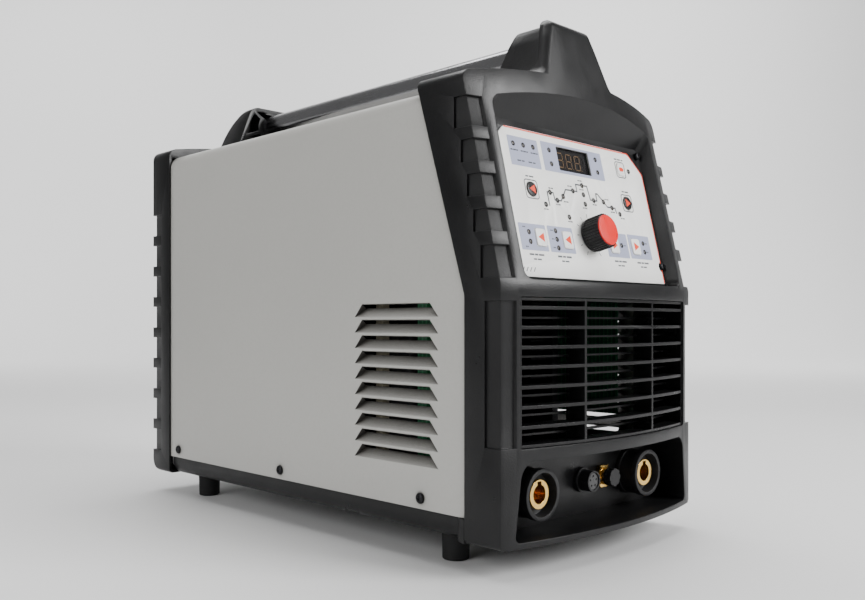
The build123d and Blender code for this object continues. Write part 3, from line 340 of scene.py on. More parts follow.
def finish_of(name):
    """The named finish, made once."""
    if name not in MATERIALS:
        look = bpy.context.scene.welder_finishes
        charcoal = tuple(look.moulding_colour)
        makers = {
            "case_enamel": (enamel, tuple(look.cover_colour)),
            "charcoal_moulding": (moulded_plastic, charcoal, 0.34),
            "grille_moulding": (moulded_plastic, charcoal, 0.3, 1100.0, 0.0006),
            "black_moulding": (moulded_plastic, (0.014, 0.014, 0.015), 0.4, 1200.0, 0.0005, 0.2),
            "panel_white": (overlay, (0.9, 0.9, 0.875)),
            "print_lilac": (overlay, (0.36, 0.385, 0.52)),
            "print_ink": (overlay, (0.035, 0.04, 0.05)),
            "print_grey": (overlay, (0.085, 0.09, 0.1)),
            "print_orange": (overlay, (0.85, 0.045, 0.002)),
            "print_white": (overlay, (0.8, 0.8, 0.8)),
            "key_white": (gloss_plastic, (0.9, 0.9, 0.88), 0.3, 0.0003),
            "key_black": (gloss_plastic, (0.012, 0.012, 0.013), 0.25, 0.0003),
            "dial_grip": (moulded_plastic, (0.016, 0.016, 0.017), 0.36, 1500.0, 0.0003, 0.15),
            "dial_red": (gloss_plastic, tuple(look.dial_colour), 0.3, 0.0005),
            "window_smoke": (smoked_glass,),
            "digit_base": (gloss_plastic, (0.008, 0.007, 0.007), 0.35),
            "digit_bar": (gloss_plastic, (0.42, 0.26, 0.13), 0.4),
            "lamp_lens": (lamp_lens,),
            "tube_steel": (brushed_metal, (0.4, 0.4, 0.41), 0.15, (1.0, 0.05, 1.0)),
            "brass_turned": (brushed_metal, (0.86, 0.56, 0.17), 0.16, (1.0, 6.0, 1.0), 0.0004),
            "zinc_bright": (brushed_metal, (0.62, 0.63, 0.64), 0.3),
            "zinc_sheet": (brushed_metal, (0.5, 0.5, 0.5), 0.42, (1.0, 1.0, 9.0)),
            "screw_black": (brushed_metal, (0.03, 0.03, 0.032), 0.32, (1.0, 1.0, 1.0), 0.0002),
            # Heat sink metal with its colour darkened as painted shade for the inside of the case.
            "anodised_black": (brushed_metal, (0.05, 0.05, 0.054), 0.4, (1.0, 0.05, 1.0)),
            "core_iron": (brushed_metal, (0.12, 0.115, 0.11), 0.55, (1.0, 22.0, 1.0)),
            "copper_bar": (brushed_metal, (0.8, 0.38, 0.22), 0.3),
            "rubber_black": (rubber,),
            "hose_blue": (rubber, (0.012, 0.02, 0.06)),
            "board_green": (laminate, (0.015, 0.12, 0.05)),
            "sleeve_blue": (gloss_plastic, (0.012, 0.02, 0.09), 0.3),
            "insulating_board": (moulded_plastic, (0.33, 0.3, 0.22), 0.6),
            "grey_insert": (gloss_plastic, (0.035, 0.035, 0.036), 0.3),
            "rocker_red": (gloss_plastic, (0.55, 0.02, 0.015), 0.25),
            "copper_winding": (wound_wire,),
            "floor_pale": (pale_floor, tuple(look.floor_colour)),
        }
        maker, *settings = makers[name]
        MATERIALS[name] = maker(name, *settings)
    return MATERIALS[name]


# ---- mesh helpers
def dress(node, finish):
    """Give a kept CAD node its finish."""
    data = NODES[node].data
    data.materials.clear()
    data.materials.append(finish_of(finish))


def dress_all(**finishes):
    for node, finish in finishes.items():
        dress(node, finish)


def piece_from(name, mesh, finishes, body="case", replaces=()):
    """Make a finished piece from a mesh already in place."""
    made = new_object(name, mesh)
    if len(mesh.materials):
        mesh.materials.clear()
    for finish in finishes:
        mesh.materials.append(finish_of(finish))
    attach(made, body)
    if replaces:
        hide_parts(*replaces)
    return made


def tidy_mesh(mesh, smooth=35.0):
    """Weld, face outwards and shade by angle."""
    work = bmesh.new()
    work.from_mesh(mesh)
    bmesh.ops.remove_doubles(work, verts=work.verts, dist=WELD)
    bmesh.ops.recalc_face_normals(work, faces=work.faces)
    work.to_mesh(mesh)
    work.free()
    mesh.shade_smooth()
    mesh.set_sharp_from_angle(angle=math.radians(smooth))
    return mesh


def turned(work, profile, steps, matrix, index=0):
    """Add a lathe-turned solid: profile is (radius, height) from one pole to the other, in millimetres."""
    rings = []
    for radius, height in profile:
        if radius < WELD:
            rings.append([work.verts.new(matrix @ Vector((0, 0, height * MM)))])
        else:
            ring = []
            for k in range(steps):
                angle = 2 * math.pi * k / steps
                point = (radius * MM * math.cos(angle), radius * MM * math.sin(angle), height * MM)
                ring.append(work.verts.new(matrix @ Vector(point)))
            rings.append(ring)
    for low, high in zip(rings, rings[1:]):
        for k in range(steps):
            n = (k + 1) % steps
            if len(low) == 1:
                corners = [low[0], high[n], high[k]]
            elif len(high) == 1:
                corners = [low[k], low[n], high[0]]
            else:
                corners = [low[k], low[n], high[n], high[k]]
            work.faces.new(corners).material_index = index


def plate_mesh(loops_by_finish, matrix, thickness=0.06, lift=0.02):
    """Thin printed shapes: a list of loops, in millimetres, for each finish; a loop in another is a hole."""
    whole = bmesh.new()
    for index, loops in enumerate(loops_by_finish):
        if not loops:
            continue
        curve = bpy.data.curves.new("print", "CURVE")
        curve.dimensions = "2D"
        curve.fill_mode = "BOTH"
        curve.extrude = thickness * MM / 2
        for loop in loops:
            spline = curve.splines.new("POLY")
            spline.points.add(len(loop) - 1)
            spline.use_cyclic_u = True
            for point, (x, y) in zip(spline.points, loop):
                point.co = (x * MM, y * MM, 0, 1)
        made = evaluated_mesh(new_object("print", curve))
        bpy.data.curves.remove(curve)
        made.transform(matrix @ Matrix.Translation((0, 0, (lift + thickness / 2) * MM)))
        part = bmesh.new()
        part.from_mesh(made)
        for face in part.faces:
            face.material_index = index
        part.to_mesh(made)
        part.free()
        whole.from_mesh(made)
        bpy.data.meshes.remove(made)
    return mesh_from(whole, face_out=False)


def ring_points(cx, cy, rx, ry, steps=24):
    angles = [2 * math.pi * k / steps for k in range(steps)]
    return [(cx + rx * math.cos(angle), cy + ry * math.sin(angle)) for angle in angles]


def round_box(cx, cy, width, height, radius, steps=5):
    points = []
    for sx, sy, start in ((1, 1, 0), (-1, 1, 90), (-1, -1, 180), (1, -1, 270)):
        ox, oy = cx + sx * (width / 2 - radius), cy + sy * (height / 2 - radius)
        for k in range(steps + 1):
            angle = math.radians(start + 90 * k / steps)
            points.append((ox + radius * math.cos(angle), oy + radius * math.sin(angle)))
    return points


def bar(x0, y0, x1, y1, width):
    """Outline of a straight printed line."""
    run = Vector((x1 - x0, y1 - y0)).normalized()
    side = Vector((-run.y, run.x)) * width / 2
    end = run * width / 2
    return [(x0 - end.x + side.x, y0 - end.y + side.y), (x0 - end.x - side.x, y0 - end.y - side.y),
            (x1 + end.x - side.x, y1 + end.y - side.y), (x1 + end.x + side.x, y1 + end.y + side.y)]


# ---- geometry node helpers
class Builder:
    """A geometry node tree with named inputs, ending in Realize Instances and Set Material."""

    def __init__(self, name):
        self.tree = bpy.data.node_groups.new(name, "GeometryNodeTree")
        self.tree.interface.new_socket("Geometry", in_out="INPUT", socket_type="NodeSocketGeometry")
        self.tree.interface.new_socket("Geometry", in_out="OUTPUT", socket_type="NodeSocketGeometry")
        self.source = self.tree.nodes.new("NodeGroupInput")

    def input(self, name, kind, default=None):
        socket = self.tree.interface.new_socket(name, in_out="INPUT", socket_type="NodeSocket" + kind)
        if default is not None:
            socket.default_value = default
        return self.source.outputs[name]

    def number(self, name, default):
        return self.input(name, "Float", default)

    def count(self, name, default):
        return self.input(name, "Int", default)

    def pattern(self, name):
        return self.input(name, "Object")

    def node(self, kind, inputs=None, **settings):
        return add_node(self.tree, kind, inputs, **settings)

    def out(self, kind, inputs=None, **settings):
        """Add a node and return its first output."""
        return self.node(kind, inputs, **settings).outputs[0]

    def end(self, geometry, finish):
        real = self.out("GeometryNodeRealizeInstances", {"Geometry": geometry})
        painted = self.out("GeometryNodeSetMaterial", {"Geometry": real, "Material": finish_of(finish)})
        self.node("NodeGroupOutput", {"Geometry": painted})

    def spot(self, points, instance, **more):
        """Instances on points."""
        return self.out("GeometryNodeInstanceOnPoints", {"Points": points, "Instance": instance, **more})

    def shape_of(self, pattern):
        return self.node("GeometryNodeObjectInfo", {"Object": pattern}).outputs["Geometry"]

    def math(self, operation, first, second):
        return self.out("ShaderNodeMath", {0: first, 1: second}, operation=operation)

    def sweep(self, placed, wire, sides, finish):
        """Make wire of round section along the instanced loops, and finish the tree."""
        real = self.out("GeometryNodeRealizeInstances", {"Geometry": placed})
        section = self.out("GeometryNodeCurvePrimitiveCircle", {"Resolution": sides, "Radius": wire})
        self.end(self.out("GeometryNodeCurveToMesh", {"Curve": real, "Profile Curve": section}), finish)

    def run(self, base, values):
        """Evaluate the tree on a base mesh and return the resulting plain mesh."""
        carrier = new_object("carrier", base)
        modifier = carrier.modifiers.new("build", "NODES")
        modifier.node_group = self.tree
        for item in self.tree.interface.items_tree:
            if item.in_out == "INPUT" and item.name in values:
                modifier[item.identifier] = values[item.name]
        return evaluated_mesh(carrier)


def points_mesh(places):
    """Loose points with the way each one faces."""
    mesh = bpy.data.meshes.new("places")
    mesh.from_pydata([tuple(p) for p, _ in places], [], [])
    facing = mesh.attributes.new("facing", "FLOAT_VECTOR", "POINT")
    facing.data.foreach_set("vector", [c for _, f in places for c in f])
    return mesh


def stamp_tree(name, finish):
    """Instances one pattern object on each point, turned to face its stored way."""
    build = Builder(name)
    pattern = build.pattern("Pattern")
    size = build.number("Size", 1.0)
    way = build.out("GeometryNodeInputNamedAttribute", {"Name": "facing"}, data_type="FLOAT_VECTOR")
    turn = build.out("FunctionNodeAlignRotationToVector", {"Vector": way}, axis="Z")
    points = build.source.outputs["Geometry"]
    build.end(build.spot(points, build.shape_of(pattern), Rotation=turn, Scale=size), finish)
    return build


def stamped(name, finish, pattern_mesh, places, body="case", replaces=(), size=1.0):
    """One piece made of the same pattern repeated at each place."""
    pattern = new_object("pattern", pattern_mesh)
    pattern.hide_render = True
    mesh = stamp_tree(name, finish).run(points_mesh(places), {"Pattern": pattern, "Size": size})
    bpy.data.objects.remove(pattern)
    mesh.shade_smooth()
    mesh.set_sharp_from_angle(angle=math.radians(STAMP_SMOOTH))
    return piece_from(name, mesh, [finish], body, replaces)


def wheel_tree(name, finish):
    """Instances one pattern evenly round the Z axis, each turned with its place."""
    build = Builder(name)
    pattern = build.pattern("Pattern")
    count = build.count("Count", 12)
    ring = build.out("GeometryNodeMeshCircle", {"Vertices": count, "Radius": 0.001})
    step = build.math("DIVIDE", math.tau, count)
    angle = build.math("MULTIPLY", build.out("GeometryNodeInputIndex"), step)
    turn = build.out("ShaderNodeCombineXYZ", {"Z": angle})
    centre = build.out("GeometryNodeSetPosition", {"Geometry": ring, "Position": (0.0, 0.0, 0.0)})
    build.end(build.spot(centre, build.shape_of(pattern), Rotation=turn), finish)
    return build


def rings_tree(name, finish):
    """Wire rings of growing radius in the XY plane."""
    build = Builder(name)
    count = build.count("Count", 4)
    first = build.number("First Radius", 0.019)
    pitch = build.number("Pitch", 0.01)
    wire = build.number("Wire Radius", 0.001)
    rail = build.out("GeometryNodeMeshLine", {"Count": count, "Offset": (0.0, 0.0, 0.0)})
    grown = build.math("MULTIPLY", build.out("GeometryNodeInputIndex"), pitch)
    radius = build.math("ADD", grown, first)
    loop = build.out("GeometryNodeCurvePrimitiveCircle", {"Resolution": 72, "Radius": 1.0})
    build.sweep(build.spot(rail, loop, Scale=radius), wire, 10, finish)
    return build


def turns_tree(name, finish):
    """Turns of wire laid one above another round a rounded former."""
    build = Builder(name)
    count = build.count("Count", 16)
    pitch = build.number("Pitch", 0.003)
    wide = build.number("Width", 0.05)
    deep = build.number("Depth", 0.05)
    round_off = build.number("Corner Radius", 0.008)
    wire = build.number("Wire Radius", 0.0014)
    climb = build.out("ShaderNodeCombineXYZ", {"Z": pitch})
    rail = build.out("GeometryNodeMeshLine", {"Count": count, "Offset": climb})
    loop = build.out("GeometryNodeCurvePrimitiveQuadrilateral", {"Width": wide, "Height": deep})
    eased = build.node("GeometryNodeFilletCurve", {"Curve": loop, "Radius": round_off})
    for socket in eased.inputs:
        if socket.name == "Mode":
            socket.default_value = "Poly"
        if socket.name == "Count":
            socket.default_value = 6
    build.sweep(build.spot(rail, eased.outputs["Curve"]), wire, 8, finish)
    return build


def mesh_from(work, face_out=True):
    mesh = bpy.data.meshes.new("part")
    if face_out:
        bmesh.ops.recalc_face_normals(work, faces=work.faces)
    work.to_mesh(mesh)
    work.free()
    return mesh


def screw_pattern(head_r, head_h, shank_r, shank, recess=0.55):
    """Domed head with a cross recess sunk into it, and a plain shank."""
    work = bmesh.new()
    steps = 32
    profile = [(0, -shank), (shank_r * 0.8, -shank), (shank_r, -shank + 0.5), (shank_r, 0), (head_r, 0)]
    profile += [(head_r * r, head_h * z) for r, z in ((1, 0.35), (0.93, 0.66), (0.76, 0.9), (0.56, 1))]
    turned(work, profile, steps, Matrix.Identity(4))
    rim = [v for v in work.verts if abs(v.co.z - head_h * MM) < 1e-7]
    rim.sort(key=lambda v: math.atan2(v.co.y, v.co.x))
    arm, wide = head_r * recess, head_r * 0.13
    inner = wide * 1.6
    outline = []
    for cx, cy in ((1, 1), (-1, 1), (-1, -1), (1, -1)):
        corner = [(cx * arm, cy * wide), (cx * inner, cy * inner), (cx * wide, cy * arm)]
        outline += corner if cx == cy else corner[::-1]
    outline = outline[-1:] + outline[:-1]
    top = [work.verts.new((x * MM * 0.9, y * MM * 0.9, head_h * MM)) for x, y in outline]
    low = [work.verts.new((x * MM * 0.55, y * MM * 0.55, (head_h - 0.9) * MM)) for x, y in outline]
    count = len(outline)
    for k in range(count):
        work.faces.new((top[k], top[(k + 1) % count], low[(k + 1) % count], low[k]))
    work.faces.new(low)
    # ring between the recess and the dome
    rim_edges = [work.edges.get((rim[k], rim[(k + 1) % steps])) for k in range(steps)]
    top_edges = [work.edges.get((top[k], top[(k + 1) % count])) for k in range(count)]
    bmesh.ops.bridge_loops(work, edges=rim_edges + top_edges)
    return mesh_from(work)


def node_islands(node):
    """Boxes of the separate solids in a CAD node, as (low, high) corners."""
    work = bmesh.new()
    work.from_mesh(NODES[node].data)
    bmesh.ops.remove_doubles(work, verts=work.verts, dist=WELD)
    left = set(work.verts)
    boxes = []
    while left:
        seed = left.pop()
        group, stack = [seed], [seed]
        while stack:
            for edge in stack.pop().link_edges:
                for vert in edge.verts:
                    if vert in left:
                        left.discard(vert)
                        group.append(vert)
                        stack.append(vert)
        low = Vector(min(v.co[k] for v in group) for k in range(3))
        high = Vector(max(v.co[k] for v in group) for k in range(3))
        boxes.append((low, high))
    work.free()
    return boxes


def rounded_copy(node, name, finishes, body="case", width=0.0006, angle=34.0, segments=2):
    """The CAD node's shape with its sharp edges rounded over, standing in for the node."""
    mesh = NODES[node].data.copy()
    work = bmesh.new()
    work.from_mesh(mesh)
    bmesh.ops.remove_doubles(work, verts=work.verts, dist=2e-6)
    bmesh.ops.dissolve_limit(work, angle_limit=math.radians(0.6), verts=work.verts, edges=work.edges)
    bmesh.ops.recalc_face_normals(work, faces=work.faces)
    work.to_mesh(mesh)
    work.free()
    carrier = new_object("carrier", mesh)
    bevel = carrier.modifiers.new("soften", "BEVEL")
    bevel.width = width
    bevel.segments = segments
    bevel.limit_method = "ANGLE"
    bevel.angle_limit = math.radians(angle)
    bevel.use_clamp_overlap = True
    bevel.miter_outer = "MITER_ARC"
    made = evaluated_mesh(carrier)
    low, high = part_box(node)
    for vert in made.vertices:
        for k in range(3):
            vert.co[k] = min(max(vert.co[k], low[k]), high[k])
    made.shade_smooth()
    made.set_sharp_from_angle(angle=math.radians(30))
    return piece_from(name, made, finishes, body, (node,))


# ---- pieces
def make_covers():
    """Sheet steel cover, moulded front and rear housings, tray and grille."""
    dress("cover", "case_enamel")
    finish = "charcoal_moulding"
    for node, name in (("front_bezel", "front_shell"), ("rear_housing", "rear_shell")):
        rounded_copy(node, name, [finish], "case", 0.0012, 30.0, 3)
    dress_all(base_tray=finish, front_grille="grille_moulding", connector_plate=finish,
              rear_panel="zinc_sheet", feet="rubber_black")


def make_screws():
    """Cross-recess screws of the cover, front and rear, each set from one pattern; the foot screws keep their
    CAD shape.
    """
    side_head, front_head, rear_head = 2.1, 1.7, 2.0
    side = screw_pattern(3.9, side_head, 2.0, 6.0)
    places = []
    for low, high in node_islands("cover_screws"):
        centre = (low + high) / 2
        outward = 1 if centre.x > 0 else -1
        seat = (high.x if outward > 0 else low.x) - outward * side_head * MM
        places.append((Vector((seat, centre.y, centre.z)), Vector((outward, 0, 0))))
    stamped("cover_screw_set", "screw_black", side, places, replaces=("cover_screws",))
    front = screw_pattern(3.0, front_head, 1.4, 5.0)
    places = []
    for low, high in node_islands("front_screws"):
        centre = (low + high) / 2
        on_panel = centre.z > 0.1
        out = PANEL_OUT if on_panel else Vector((0, -1, 0))
        corners = [Vector((x, y, z)) for x in (low.x, high.x)
                   for y in (low.y, high.y) for z in (low.z, high.z)]
        reach = max((corner - centre).dot(out) for corner in corners)
        if on_panel:
            local = PANEL.inverted() @ centre
            place = PANEL @ Vector((local.x, local.y, 0.0))
        else:
            place = centre + out * (reach - front_head * MM)
        places.append((place, out))
    stamped("front_screw_set", "screw_black", front, places, replaces=("front_screws",))
    rear = screw_pattern(3.6, rear_head, 1.8, 5.0)
    places = []
    for low, high in node_islands("rear_screws"):
        centre = (low + high) / 2
        places.append((Vector((centre.x, high.y - rear_head * MM, centre.z)), Vector((0, 1, 0))))
    stamped("rear_screw_set", "zinc_bright", rear, places, replaces=("rear_screws",))
    dress("foot_screws", "zinc_bright")


def make_lamps():
    """Indicator lenses on the panel, each a small dome in a dark collar."""
    work = bmesh.new()
    profile = [(0, -2.2), (2.0, -2.2), (2.0, -0.1), (2.0, 0.16), (1.9, 0.26), (1.66, 0.28),
               (1.6, 0.2), (1.5, 0.24), (1.2, 0.42), (0.7, 0.54), (0, 0.58)]
    turned(work, profile, 24, Matrix.Identity(4))
    lens = mesh_from(work, face_out=False)
    places = [(PANEL @ Vector((x * MM, v * MM, 0)), PANEL_OUT) for x, v in LAMPS]
    stamped("indicator_lamps", "lamp_lens", lens, places, replaces=("status_leds",))


def make_keys():
    """Push keys with softened edges and a printed mark on each."""
    for name, (width, height, is_round, mark) in KEYS.items():
        body = name + "_button"
        node = name + "_key"
        material = "key_black" if is_round else "key_white"
        rounded_copy(node, node + "_cap", [material], body, 0.0005, 30.0, 3)
        x, v = key_place(name)
        size = min(width, height)
        if mark == "dot":
            loops = [[round_box(x, v, size * 0.62, size * 0.36, size * 0.17)]]
        else:
            way = -1 if mark == "left" else 1
            reach, half = size * 0.32, size * 0.31
            back = x - way * reach * 0.8
            loops = [[[(x + way * reach, v), (back, v + half), (back, v - half)]]]
        face = key_level(node)
        mesh = plate_mesh(loops, PANEL @ Matrix.Translation((0, 0, face)), 0.05, -0.01)
        piece_from(node + "_mark", tidy_mesh(mesh), ["print_orange"], body)


def key_level(node):
    """How far a key's face stands out of the panel."""
    return max((PANEL.inverted() @ v.co).z for v in NODES[node].data.vertices)


def make_dial():
    """The big setting dial: fluted grip with a red cap."""
    place = PANEL @ Matrix.Translation((0, DIAL_V * MM, 0))
    work = bmesh.new()
    turned(work, [(3.0, 2.4), (10.3, 2.4), (10.5, 0.9), (10.8, 0.62), (12.3, 0.65), (12.72, 1.0),
                  (12.75, 2.4), (12.3, 2.95), (11.75, 3.3), (11.7, 15.3), (11.3, 15.78), (3.0, 15.8)],
           96, place)
    core = mesh_from(work)
    work = bmesh.new()
    rib = [(11.5, -0.42), (12.1, -0.3), (12.26, 0.0), (12.1, 0.3), (11.5, 0.42)]
    low = [work.verts.new((x * MM, y * MM, 2.9 * MM)) for x, y in rib]
    high = [work.verts.new((x * MM, y * MM, 15.2 * MM)) for x, y in rib]
    crown = [work.verts.new(((x - 0.3) * MM, y * 0.7 * MM, 15.6 * MM)) for x, y in rib]
    for k in range(len(rib)):
        n = (k + 1) % len(rib)
        work.faces.new((low[k], low[n], high[n], high[k]))
        work.faces.new((high[k], high[n], crown[n], crown[k]))
    work.faces.new(crown)
    work.faces.new(low[::-1])
    pattern = new_object("pattern", mesh_from(work))
    ribs = wheel_tree("dial_ribs", "dial_grip").run(
        bpy.data.meshes.new("empty"), {"Pattern": pattern, "Count": GRIP_RIBS})
    bpy.data.objects.remove(pattern)
    ribs.transform(place)
    grip = tidy_mesh(join_meshes([core, ribs]), 32.0)
    piece_from("dial_grip", grip, ["dial_grip"], "dial", ("knob",))
    rounded_copy("knob_cap", "dial_cap", ["dial_red"], "dial", 0.0005, 30.0, 3)
    dress("encoder_shaft", "zinc_bright")


def make_panel():
    """Panel sheet with its printed layer: colour blocks, key outlines, curve and tick marks."""
    rounded_copy("control_plate", "panel_sheet", ["panel_white"], "case", 0.0004, 40.0, 2)
    lilac = [round_box((a + b) / 2, (c + d) / 2, b - a, d - c, 0.8) for a, b, c, d in BLOCKS]
    holes = []
    for name, (width, height, is_round, _) in KEYS.items():
        x, v = key_place(name)
        if is_round:
            holes.append(ring_points(x, v, width / 2 + 0.25, height / 2 + 0.25, 32))
        elif inside_block(x, v):
            holes.append(round_box(x, v, width + 0.5, height + 0.5, 1.4))
    keyholes = [h for h in holes if inside_block(h[0][0] - 0.3, h[0][1])]
    lamps = [ring_points(x, v, 2.05, 2.05, 20) for x, v in LAMPS if inside_block(x, v)]
    window = [round_box(*WINDOW, 1.0)]
    ink, grey, orange, marks = [], [], [], []
    for name, (width, height, is_round, _) in KEYS.items():
        x, v = key_place(name)
        if not inside_block(x, v):
            ink.append(round_box(x, v, width + 3.8, height + 3.8, 2.7))
            ink.append(round_box(x, v, width + 2.3, height + 2.3, 2.0))
    ink.append(offset_path(WAVE, 1.15))
    captions(grey, orange, marks)
    layers = [plate_mesh([lilac + keyholes + lamps + window], PANEL)]
    for loops, lift in (([[], ink], 0.015), ([[], [], grey], 0.015), ([[], [], [], orange], 0.02),
                        ([[], marks], 0.1)):
        layers.append(plate_mesh(loops, PANEL, 0.05, lift))
    finishes = ["print_lilac", "print_ink", "print_grey", "print_orange"]
    piece_from("panel_print", tidy_mesh(join_meshes(layers)), finishes)


def inside_block(x, v):
    return any(a < x < b and c < v < d for a, b, c, d in BLOCKS)


def offset_path(path, width):
    """Closed outline around an open run of points."""
    left, right = [], []
    count = len(path)
    for k, point in enumerate(path):
        here = Vector(point)
        before = Vector(path[max(k - 1, 0)])
        after = Vector(path[min(k + 1, count - 1)])
        first = (here - before).normalized() if k > 0 else (after - here).normalized()
        second = (after - here).normalized() if k < count - 1 else first
        along = (first + second)
        along = along.normalized() if along.length > 1e-6 else first
        side = Vector((-along.y, along.x))
        reach = width / 2 / max(0.5, side.dot(Vector((-first.y, first.x))))
        left.append(tuple(here + side * reach))
        right.append(tuple(here - side * reach))
    return left + right[::-1]


def join_meshes(meshes):
    whole = bmesh.new()
    for mesh in meshes:
        whole.from_mesh(mesh)
        bpy.data.meshes.remove(mesh)
    return mesh_from(whole, face_out=False)


def dashes(x, v, widths, height, gap):
    """A row of short bars in place of a caption, centred on x."""
    total = sum(widths) + gap * (len(widths) - 1)
    at = x - total / 2
    made = []
    for width in widths:
        low, high = v - height / 2, v + height / 2
        made.append([(at, low), (at + width, low), (at + width, high), (at, high)])
        at += width + gap
    return made


def captions(grey, orange, marks):
    """Neutral bars where the panel's captions go, and the orange accents."""
    rows = (
        (marks, [2.2, 3.0, 1.6], 1.0, 0.6, ((-72.8, 100.3), (-61.6, 100.3), (-50.5, 100.3))),
        (marks, [4.0, 3.0], 1.0, 0.9, ((-67.4, 92.6), (-55.0, 92.6))),
        (marks, [1.3, 1.0], 0.9, 0.5, ((-78.5, 42.5), (-78.5, 28.0), (-47.4, 42.0), (-47.4, 35.5),
                                       (-47.4, 29.0), (44.2, 36.0), (75.6, 39.6), (75.6, 32.3))),
        (grey, [5.0, 3.4, 6.0], 1.3, 0.9, ((-69.5, 22.6), (-37.5, 22.6), (34.0, 22.6), (65.7, 22.8))),
        (grey, [3.4, 4.4], 1.1, 0.9, ((-69.5, 19.2), (-37.5, 19.2), (34.0, 19.2), (65.7, 19.4))),
        (grey, [2.0, 2.8], 0.9, 0.6, ((-38.5, 75.0), (-33.0, 62.9), (-22.5, 66.0), (-14.5, 79.2),
                                      (0.0, 85.2), (0.2, 78.0), (0.2, 63.2), (14.0, 67.2), (31.5, 73.2),
                                      (37.1, 63.2), (49.5, 59.0), (-48.4, 58.0), (-22.2, 50.6))),
        (grey, [3.0, 5.0], 1.1, 0.9, ((-61.2, 81.6), (60.6, 82.6))),
        (grey, [3.6, 4.2, 2.6], 1.1, 0.9, ((60.7, 110.4),)),
    )
    for target, widths, height, gap, places in rows:
        for x, v in places:
            target.extend(dashes(x, v, widths, height, gap))
    for k in range(11):
        angle = math.radians(-150 + 30 * k)
        inner, outer = 14.6, 16.4 if k % 5 else 17.4
        cx, cy = math.sin(angle), math.cos(angle)
        grey.append(bar(cx * inner, DIAL_V + cy * inner, cx * outer, DIAL_V + cy * outer, 0.5))
    orange.append(offset_path([(-80.0, 117.2), (75.6, 117.2), (91.6, 101.0)], 1.0))
    orange.append(bar(91.8, 100.4, 91.8, 7.0, 0.9))
    for k in range(4):
        grey.append(bar(-88.0 + 4.0 * k, 10.2, -86.0 + 4.0 * k, 12.8, 0.7))


def make_display():
    """Smoked window, dark display block and its unlit seven-bar digits."""
    dress("display_digits", "digit_base")
    dress("display_window", "window_smoke")
    loops = []
    for x in DIGIT_CENTRES:
        loops.extend(digit_bars(x, WINDOW[1], *DIGIT_SIZE))
    depth = max((PANEL.inverted() @ v.co).z for v in NODES["display_digits"].data.vertices)
    mesh = plate_mesh([loops], PANEL @ Matrix.Translation((0, 0, depth)), 0.04, 0.0)
    piece_from("digit_bars", tidy_mesh(mesh), ["digit_bar"])


def digit_bars(x, v, width, height):
    """The seven bars and the point of one digit."""
    w, h = width / 2, height / 2
    thick, lean = 0.85, 0.5
    segments = [(-w, h, w, h), (-w, 0, w, 0), (-w, -h, w, -h), (-w, 0, -w, h), (w, 0, w, h),
                (-w, -h, -w, 0), (w, -h, w, 0)]
    made = []
    for x0, y0, x1, y1 in segments:
        run = Vector((x1 - x0, y1 - y0)).normalized() * 1.0
        made.append([(px + py / height * lean, py) for px, py in
                     bar(x0 + run.x, y0 + run.y, x1 - run.x, y1 - run.y, thick)])
    made = [[(x + px, v + py) for px, py in loop] for loop in made]
    made.append(ring_points(x + w + 1.1, v - h, 0.45, 0.45, 10))
    return made


def make_handle():
    """Carry tube, closed at its ends by the housings."""
    dress("carry_tube", "tube_steel")


def make_connectors():
    """Output sockets, control socket, gas outlet and the marks beside them."""
    rounded_copy("socket_shells", "socket_rings", ["black_moulding"], angle=40.0)
    dress_all(socket_contacts="brass_turned", control_socket="black_moulding",
              control_socket_face="grey_insert", gas_outlet="brass_turned", gas_outlet_cap="black_moulding")
    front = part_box("connector_plate")[0].y
    face = Matrix(((1, 0, 0, 0), (0, 0, -1, front), (0, 1, 0, 0), (0, 0, 0, 1)))
    strokes = ((-90.5, 72.5, -85.5, 72.5), (85.5, 72.5, 90.5, 72.5), (88.0, 70.0, 88.0, 71.8),
               (88.0, 73.2, 88.0, 75.0))
    loops = [bar(*stroke, 1.3) for stroke in strokes]
    mesh = plate_mesh([loops], face)
    piece_from("polarity_marks", tidy_mesh(mesh), ["print_white"])


def make_rear():
    """Fan, guard, mains switch, inlet fittings."""
    rounded_copy("fan_rotor", "fan_impeller", ["black_moulding"], "rotor", 0.0003, 34.0, 1)
    make_guard()
    rounded_copy("switch_rocker", "switch_paddle", ["rocker_red"], "rocker", 0.0005, 30.0)
    dress_all(fan_frame="black_moulding", switch_frame="black_moulding", mains_gland="black_moulding",
              gland_seal="rubber_black", gas_inlet="brass_turned", earth_stud="zinc_bright")


def make_guard():
    """Wire finger guard: rings on four arms with eyes at the fixing screws."""
    axis = Vector(JOINTS["fan_spin"]["pos_m"])
    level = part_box("fan_guard")[1].y - 2.9 * MM
    place = Matrix.Translation((axis.x, level, axis.z)) @ Matrix.Rotation(math.radians(-90), 4, "X")
    rings = rings_tree("guard_rings", "zinc_bright").run(
        bpy.data.meshes.new("empty"),
        {"Count": 4, "First Radius": 0.019, "Pitch": 0.010, "Wire Radius": 0.00098})
    rings.transform(place)
    work = bmesh.new()
    turned(work, [(0, -0.9), (8.4, -0.9), (9.0, -0.5), (9.0, 0.4), (8.4, 0.95), (0, 1.0)], 40, place)
    for angle in (45, 135, 225, 315):
        turn = place @ Matrix.Rotation(math.radians(angle), 4, "Z")
        rod = turn @ Matrix.Translation((3 * MM, 0, 0.2 * MM)) @ Matrix.Rotation(math.radians(90), 4, "Y")
        turned(work, [(0, 0), (1.15, 0), (1.15, 68), (0, 68)], 12, rod)
        eye = turn @ Matrix.Translation((74.2 * MM, 0, 0))
        turned(work, [(2.35, -5.9), (4.3, -5.9), (4.38, -5.6), (4.38, 2.5), (4.1, 2.85), (2.35, 2.85),
                      (2.35, -5.9)], 28, eye)
    guard = tidy_mesh(join_meshes([rings, mesh_from(work)]))
    piece_from("fan_guard_wire", guard, ["zinc_bright"], "case", ("fan_guard",))


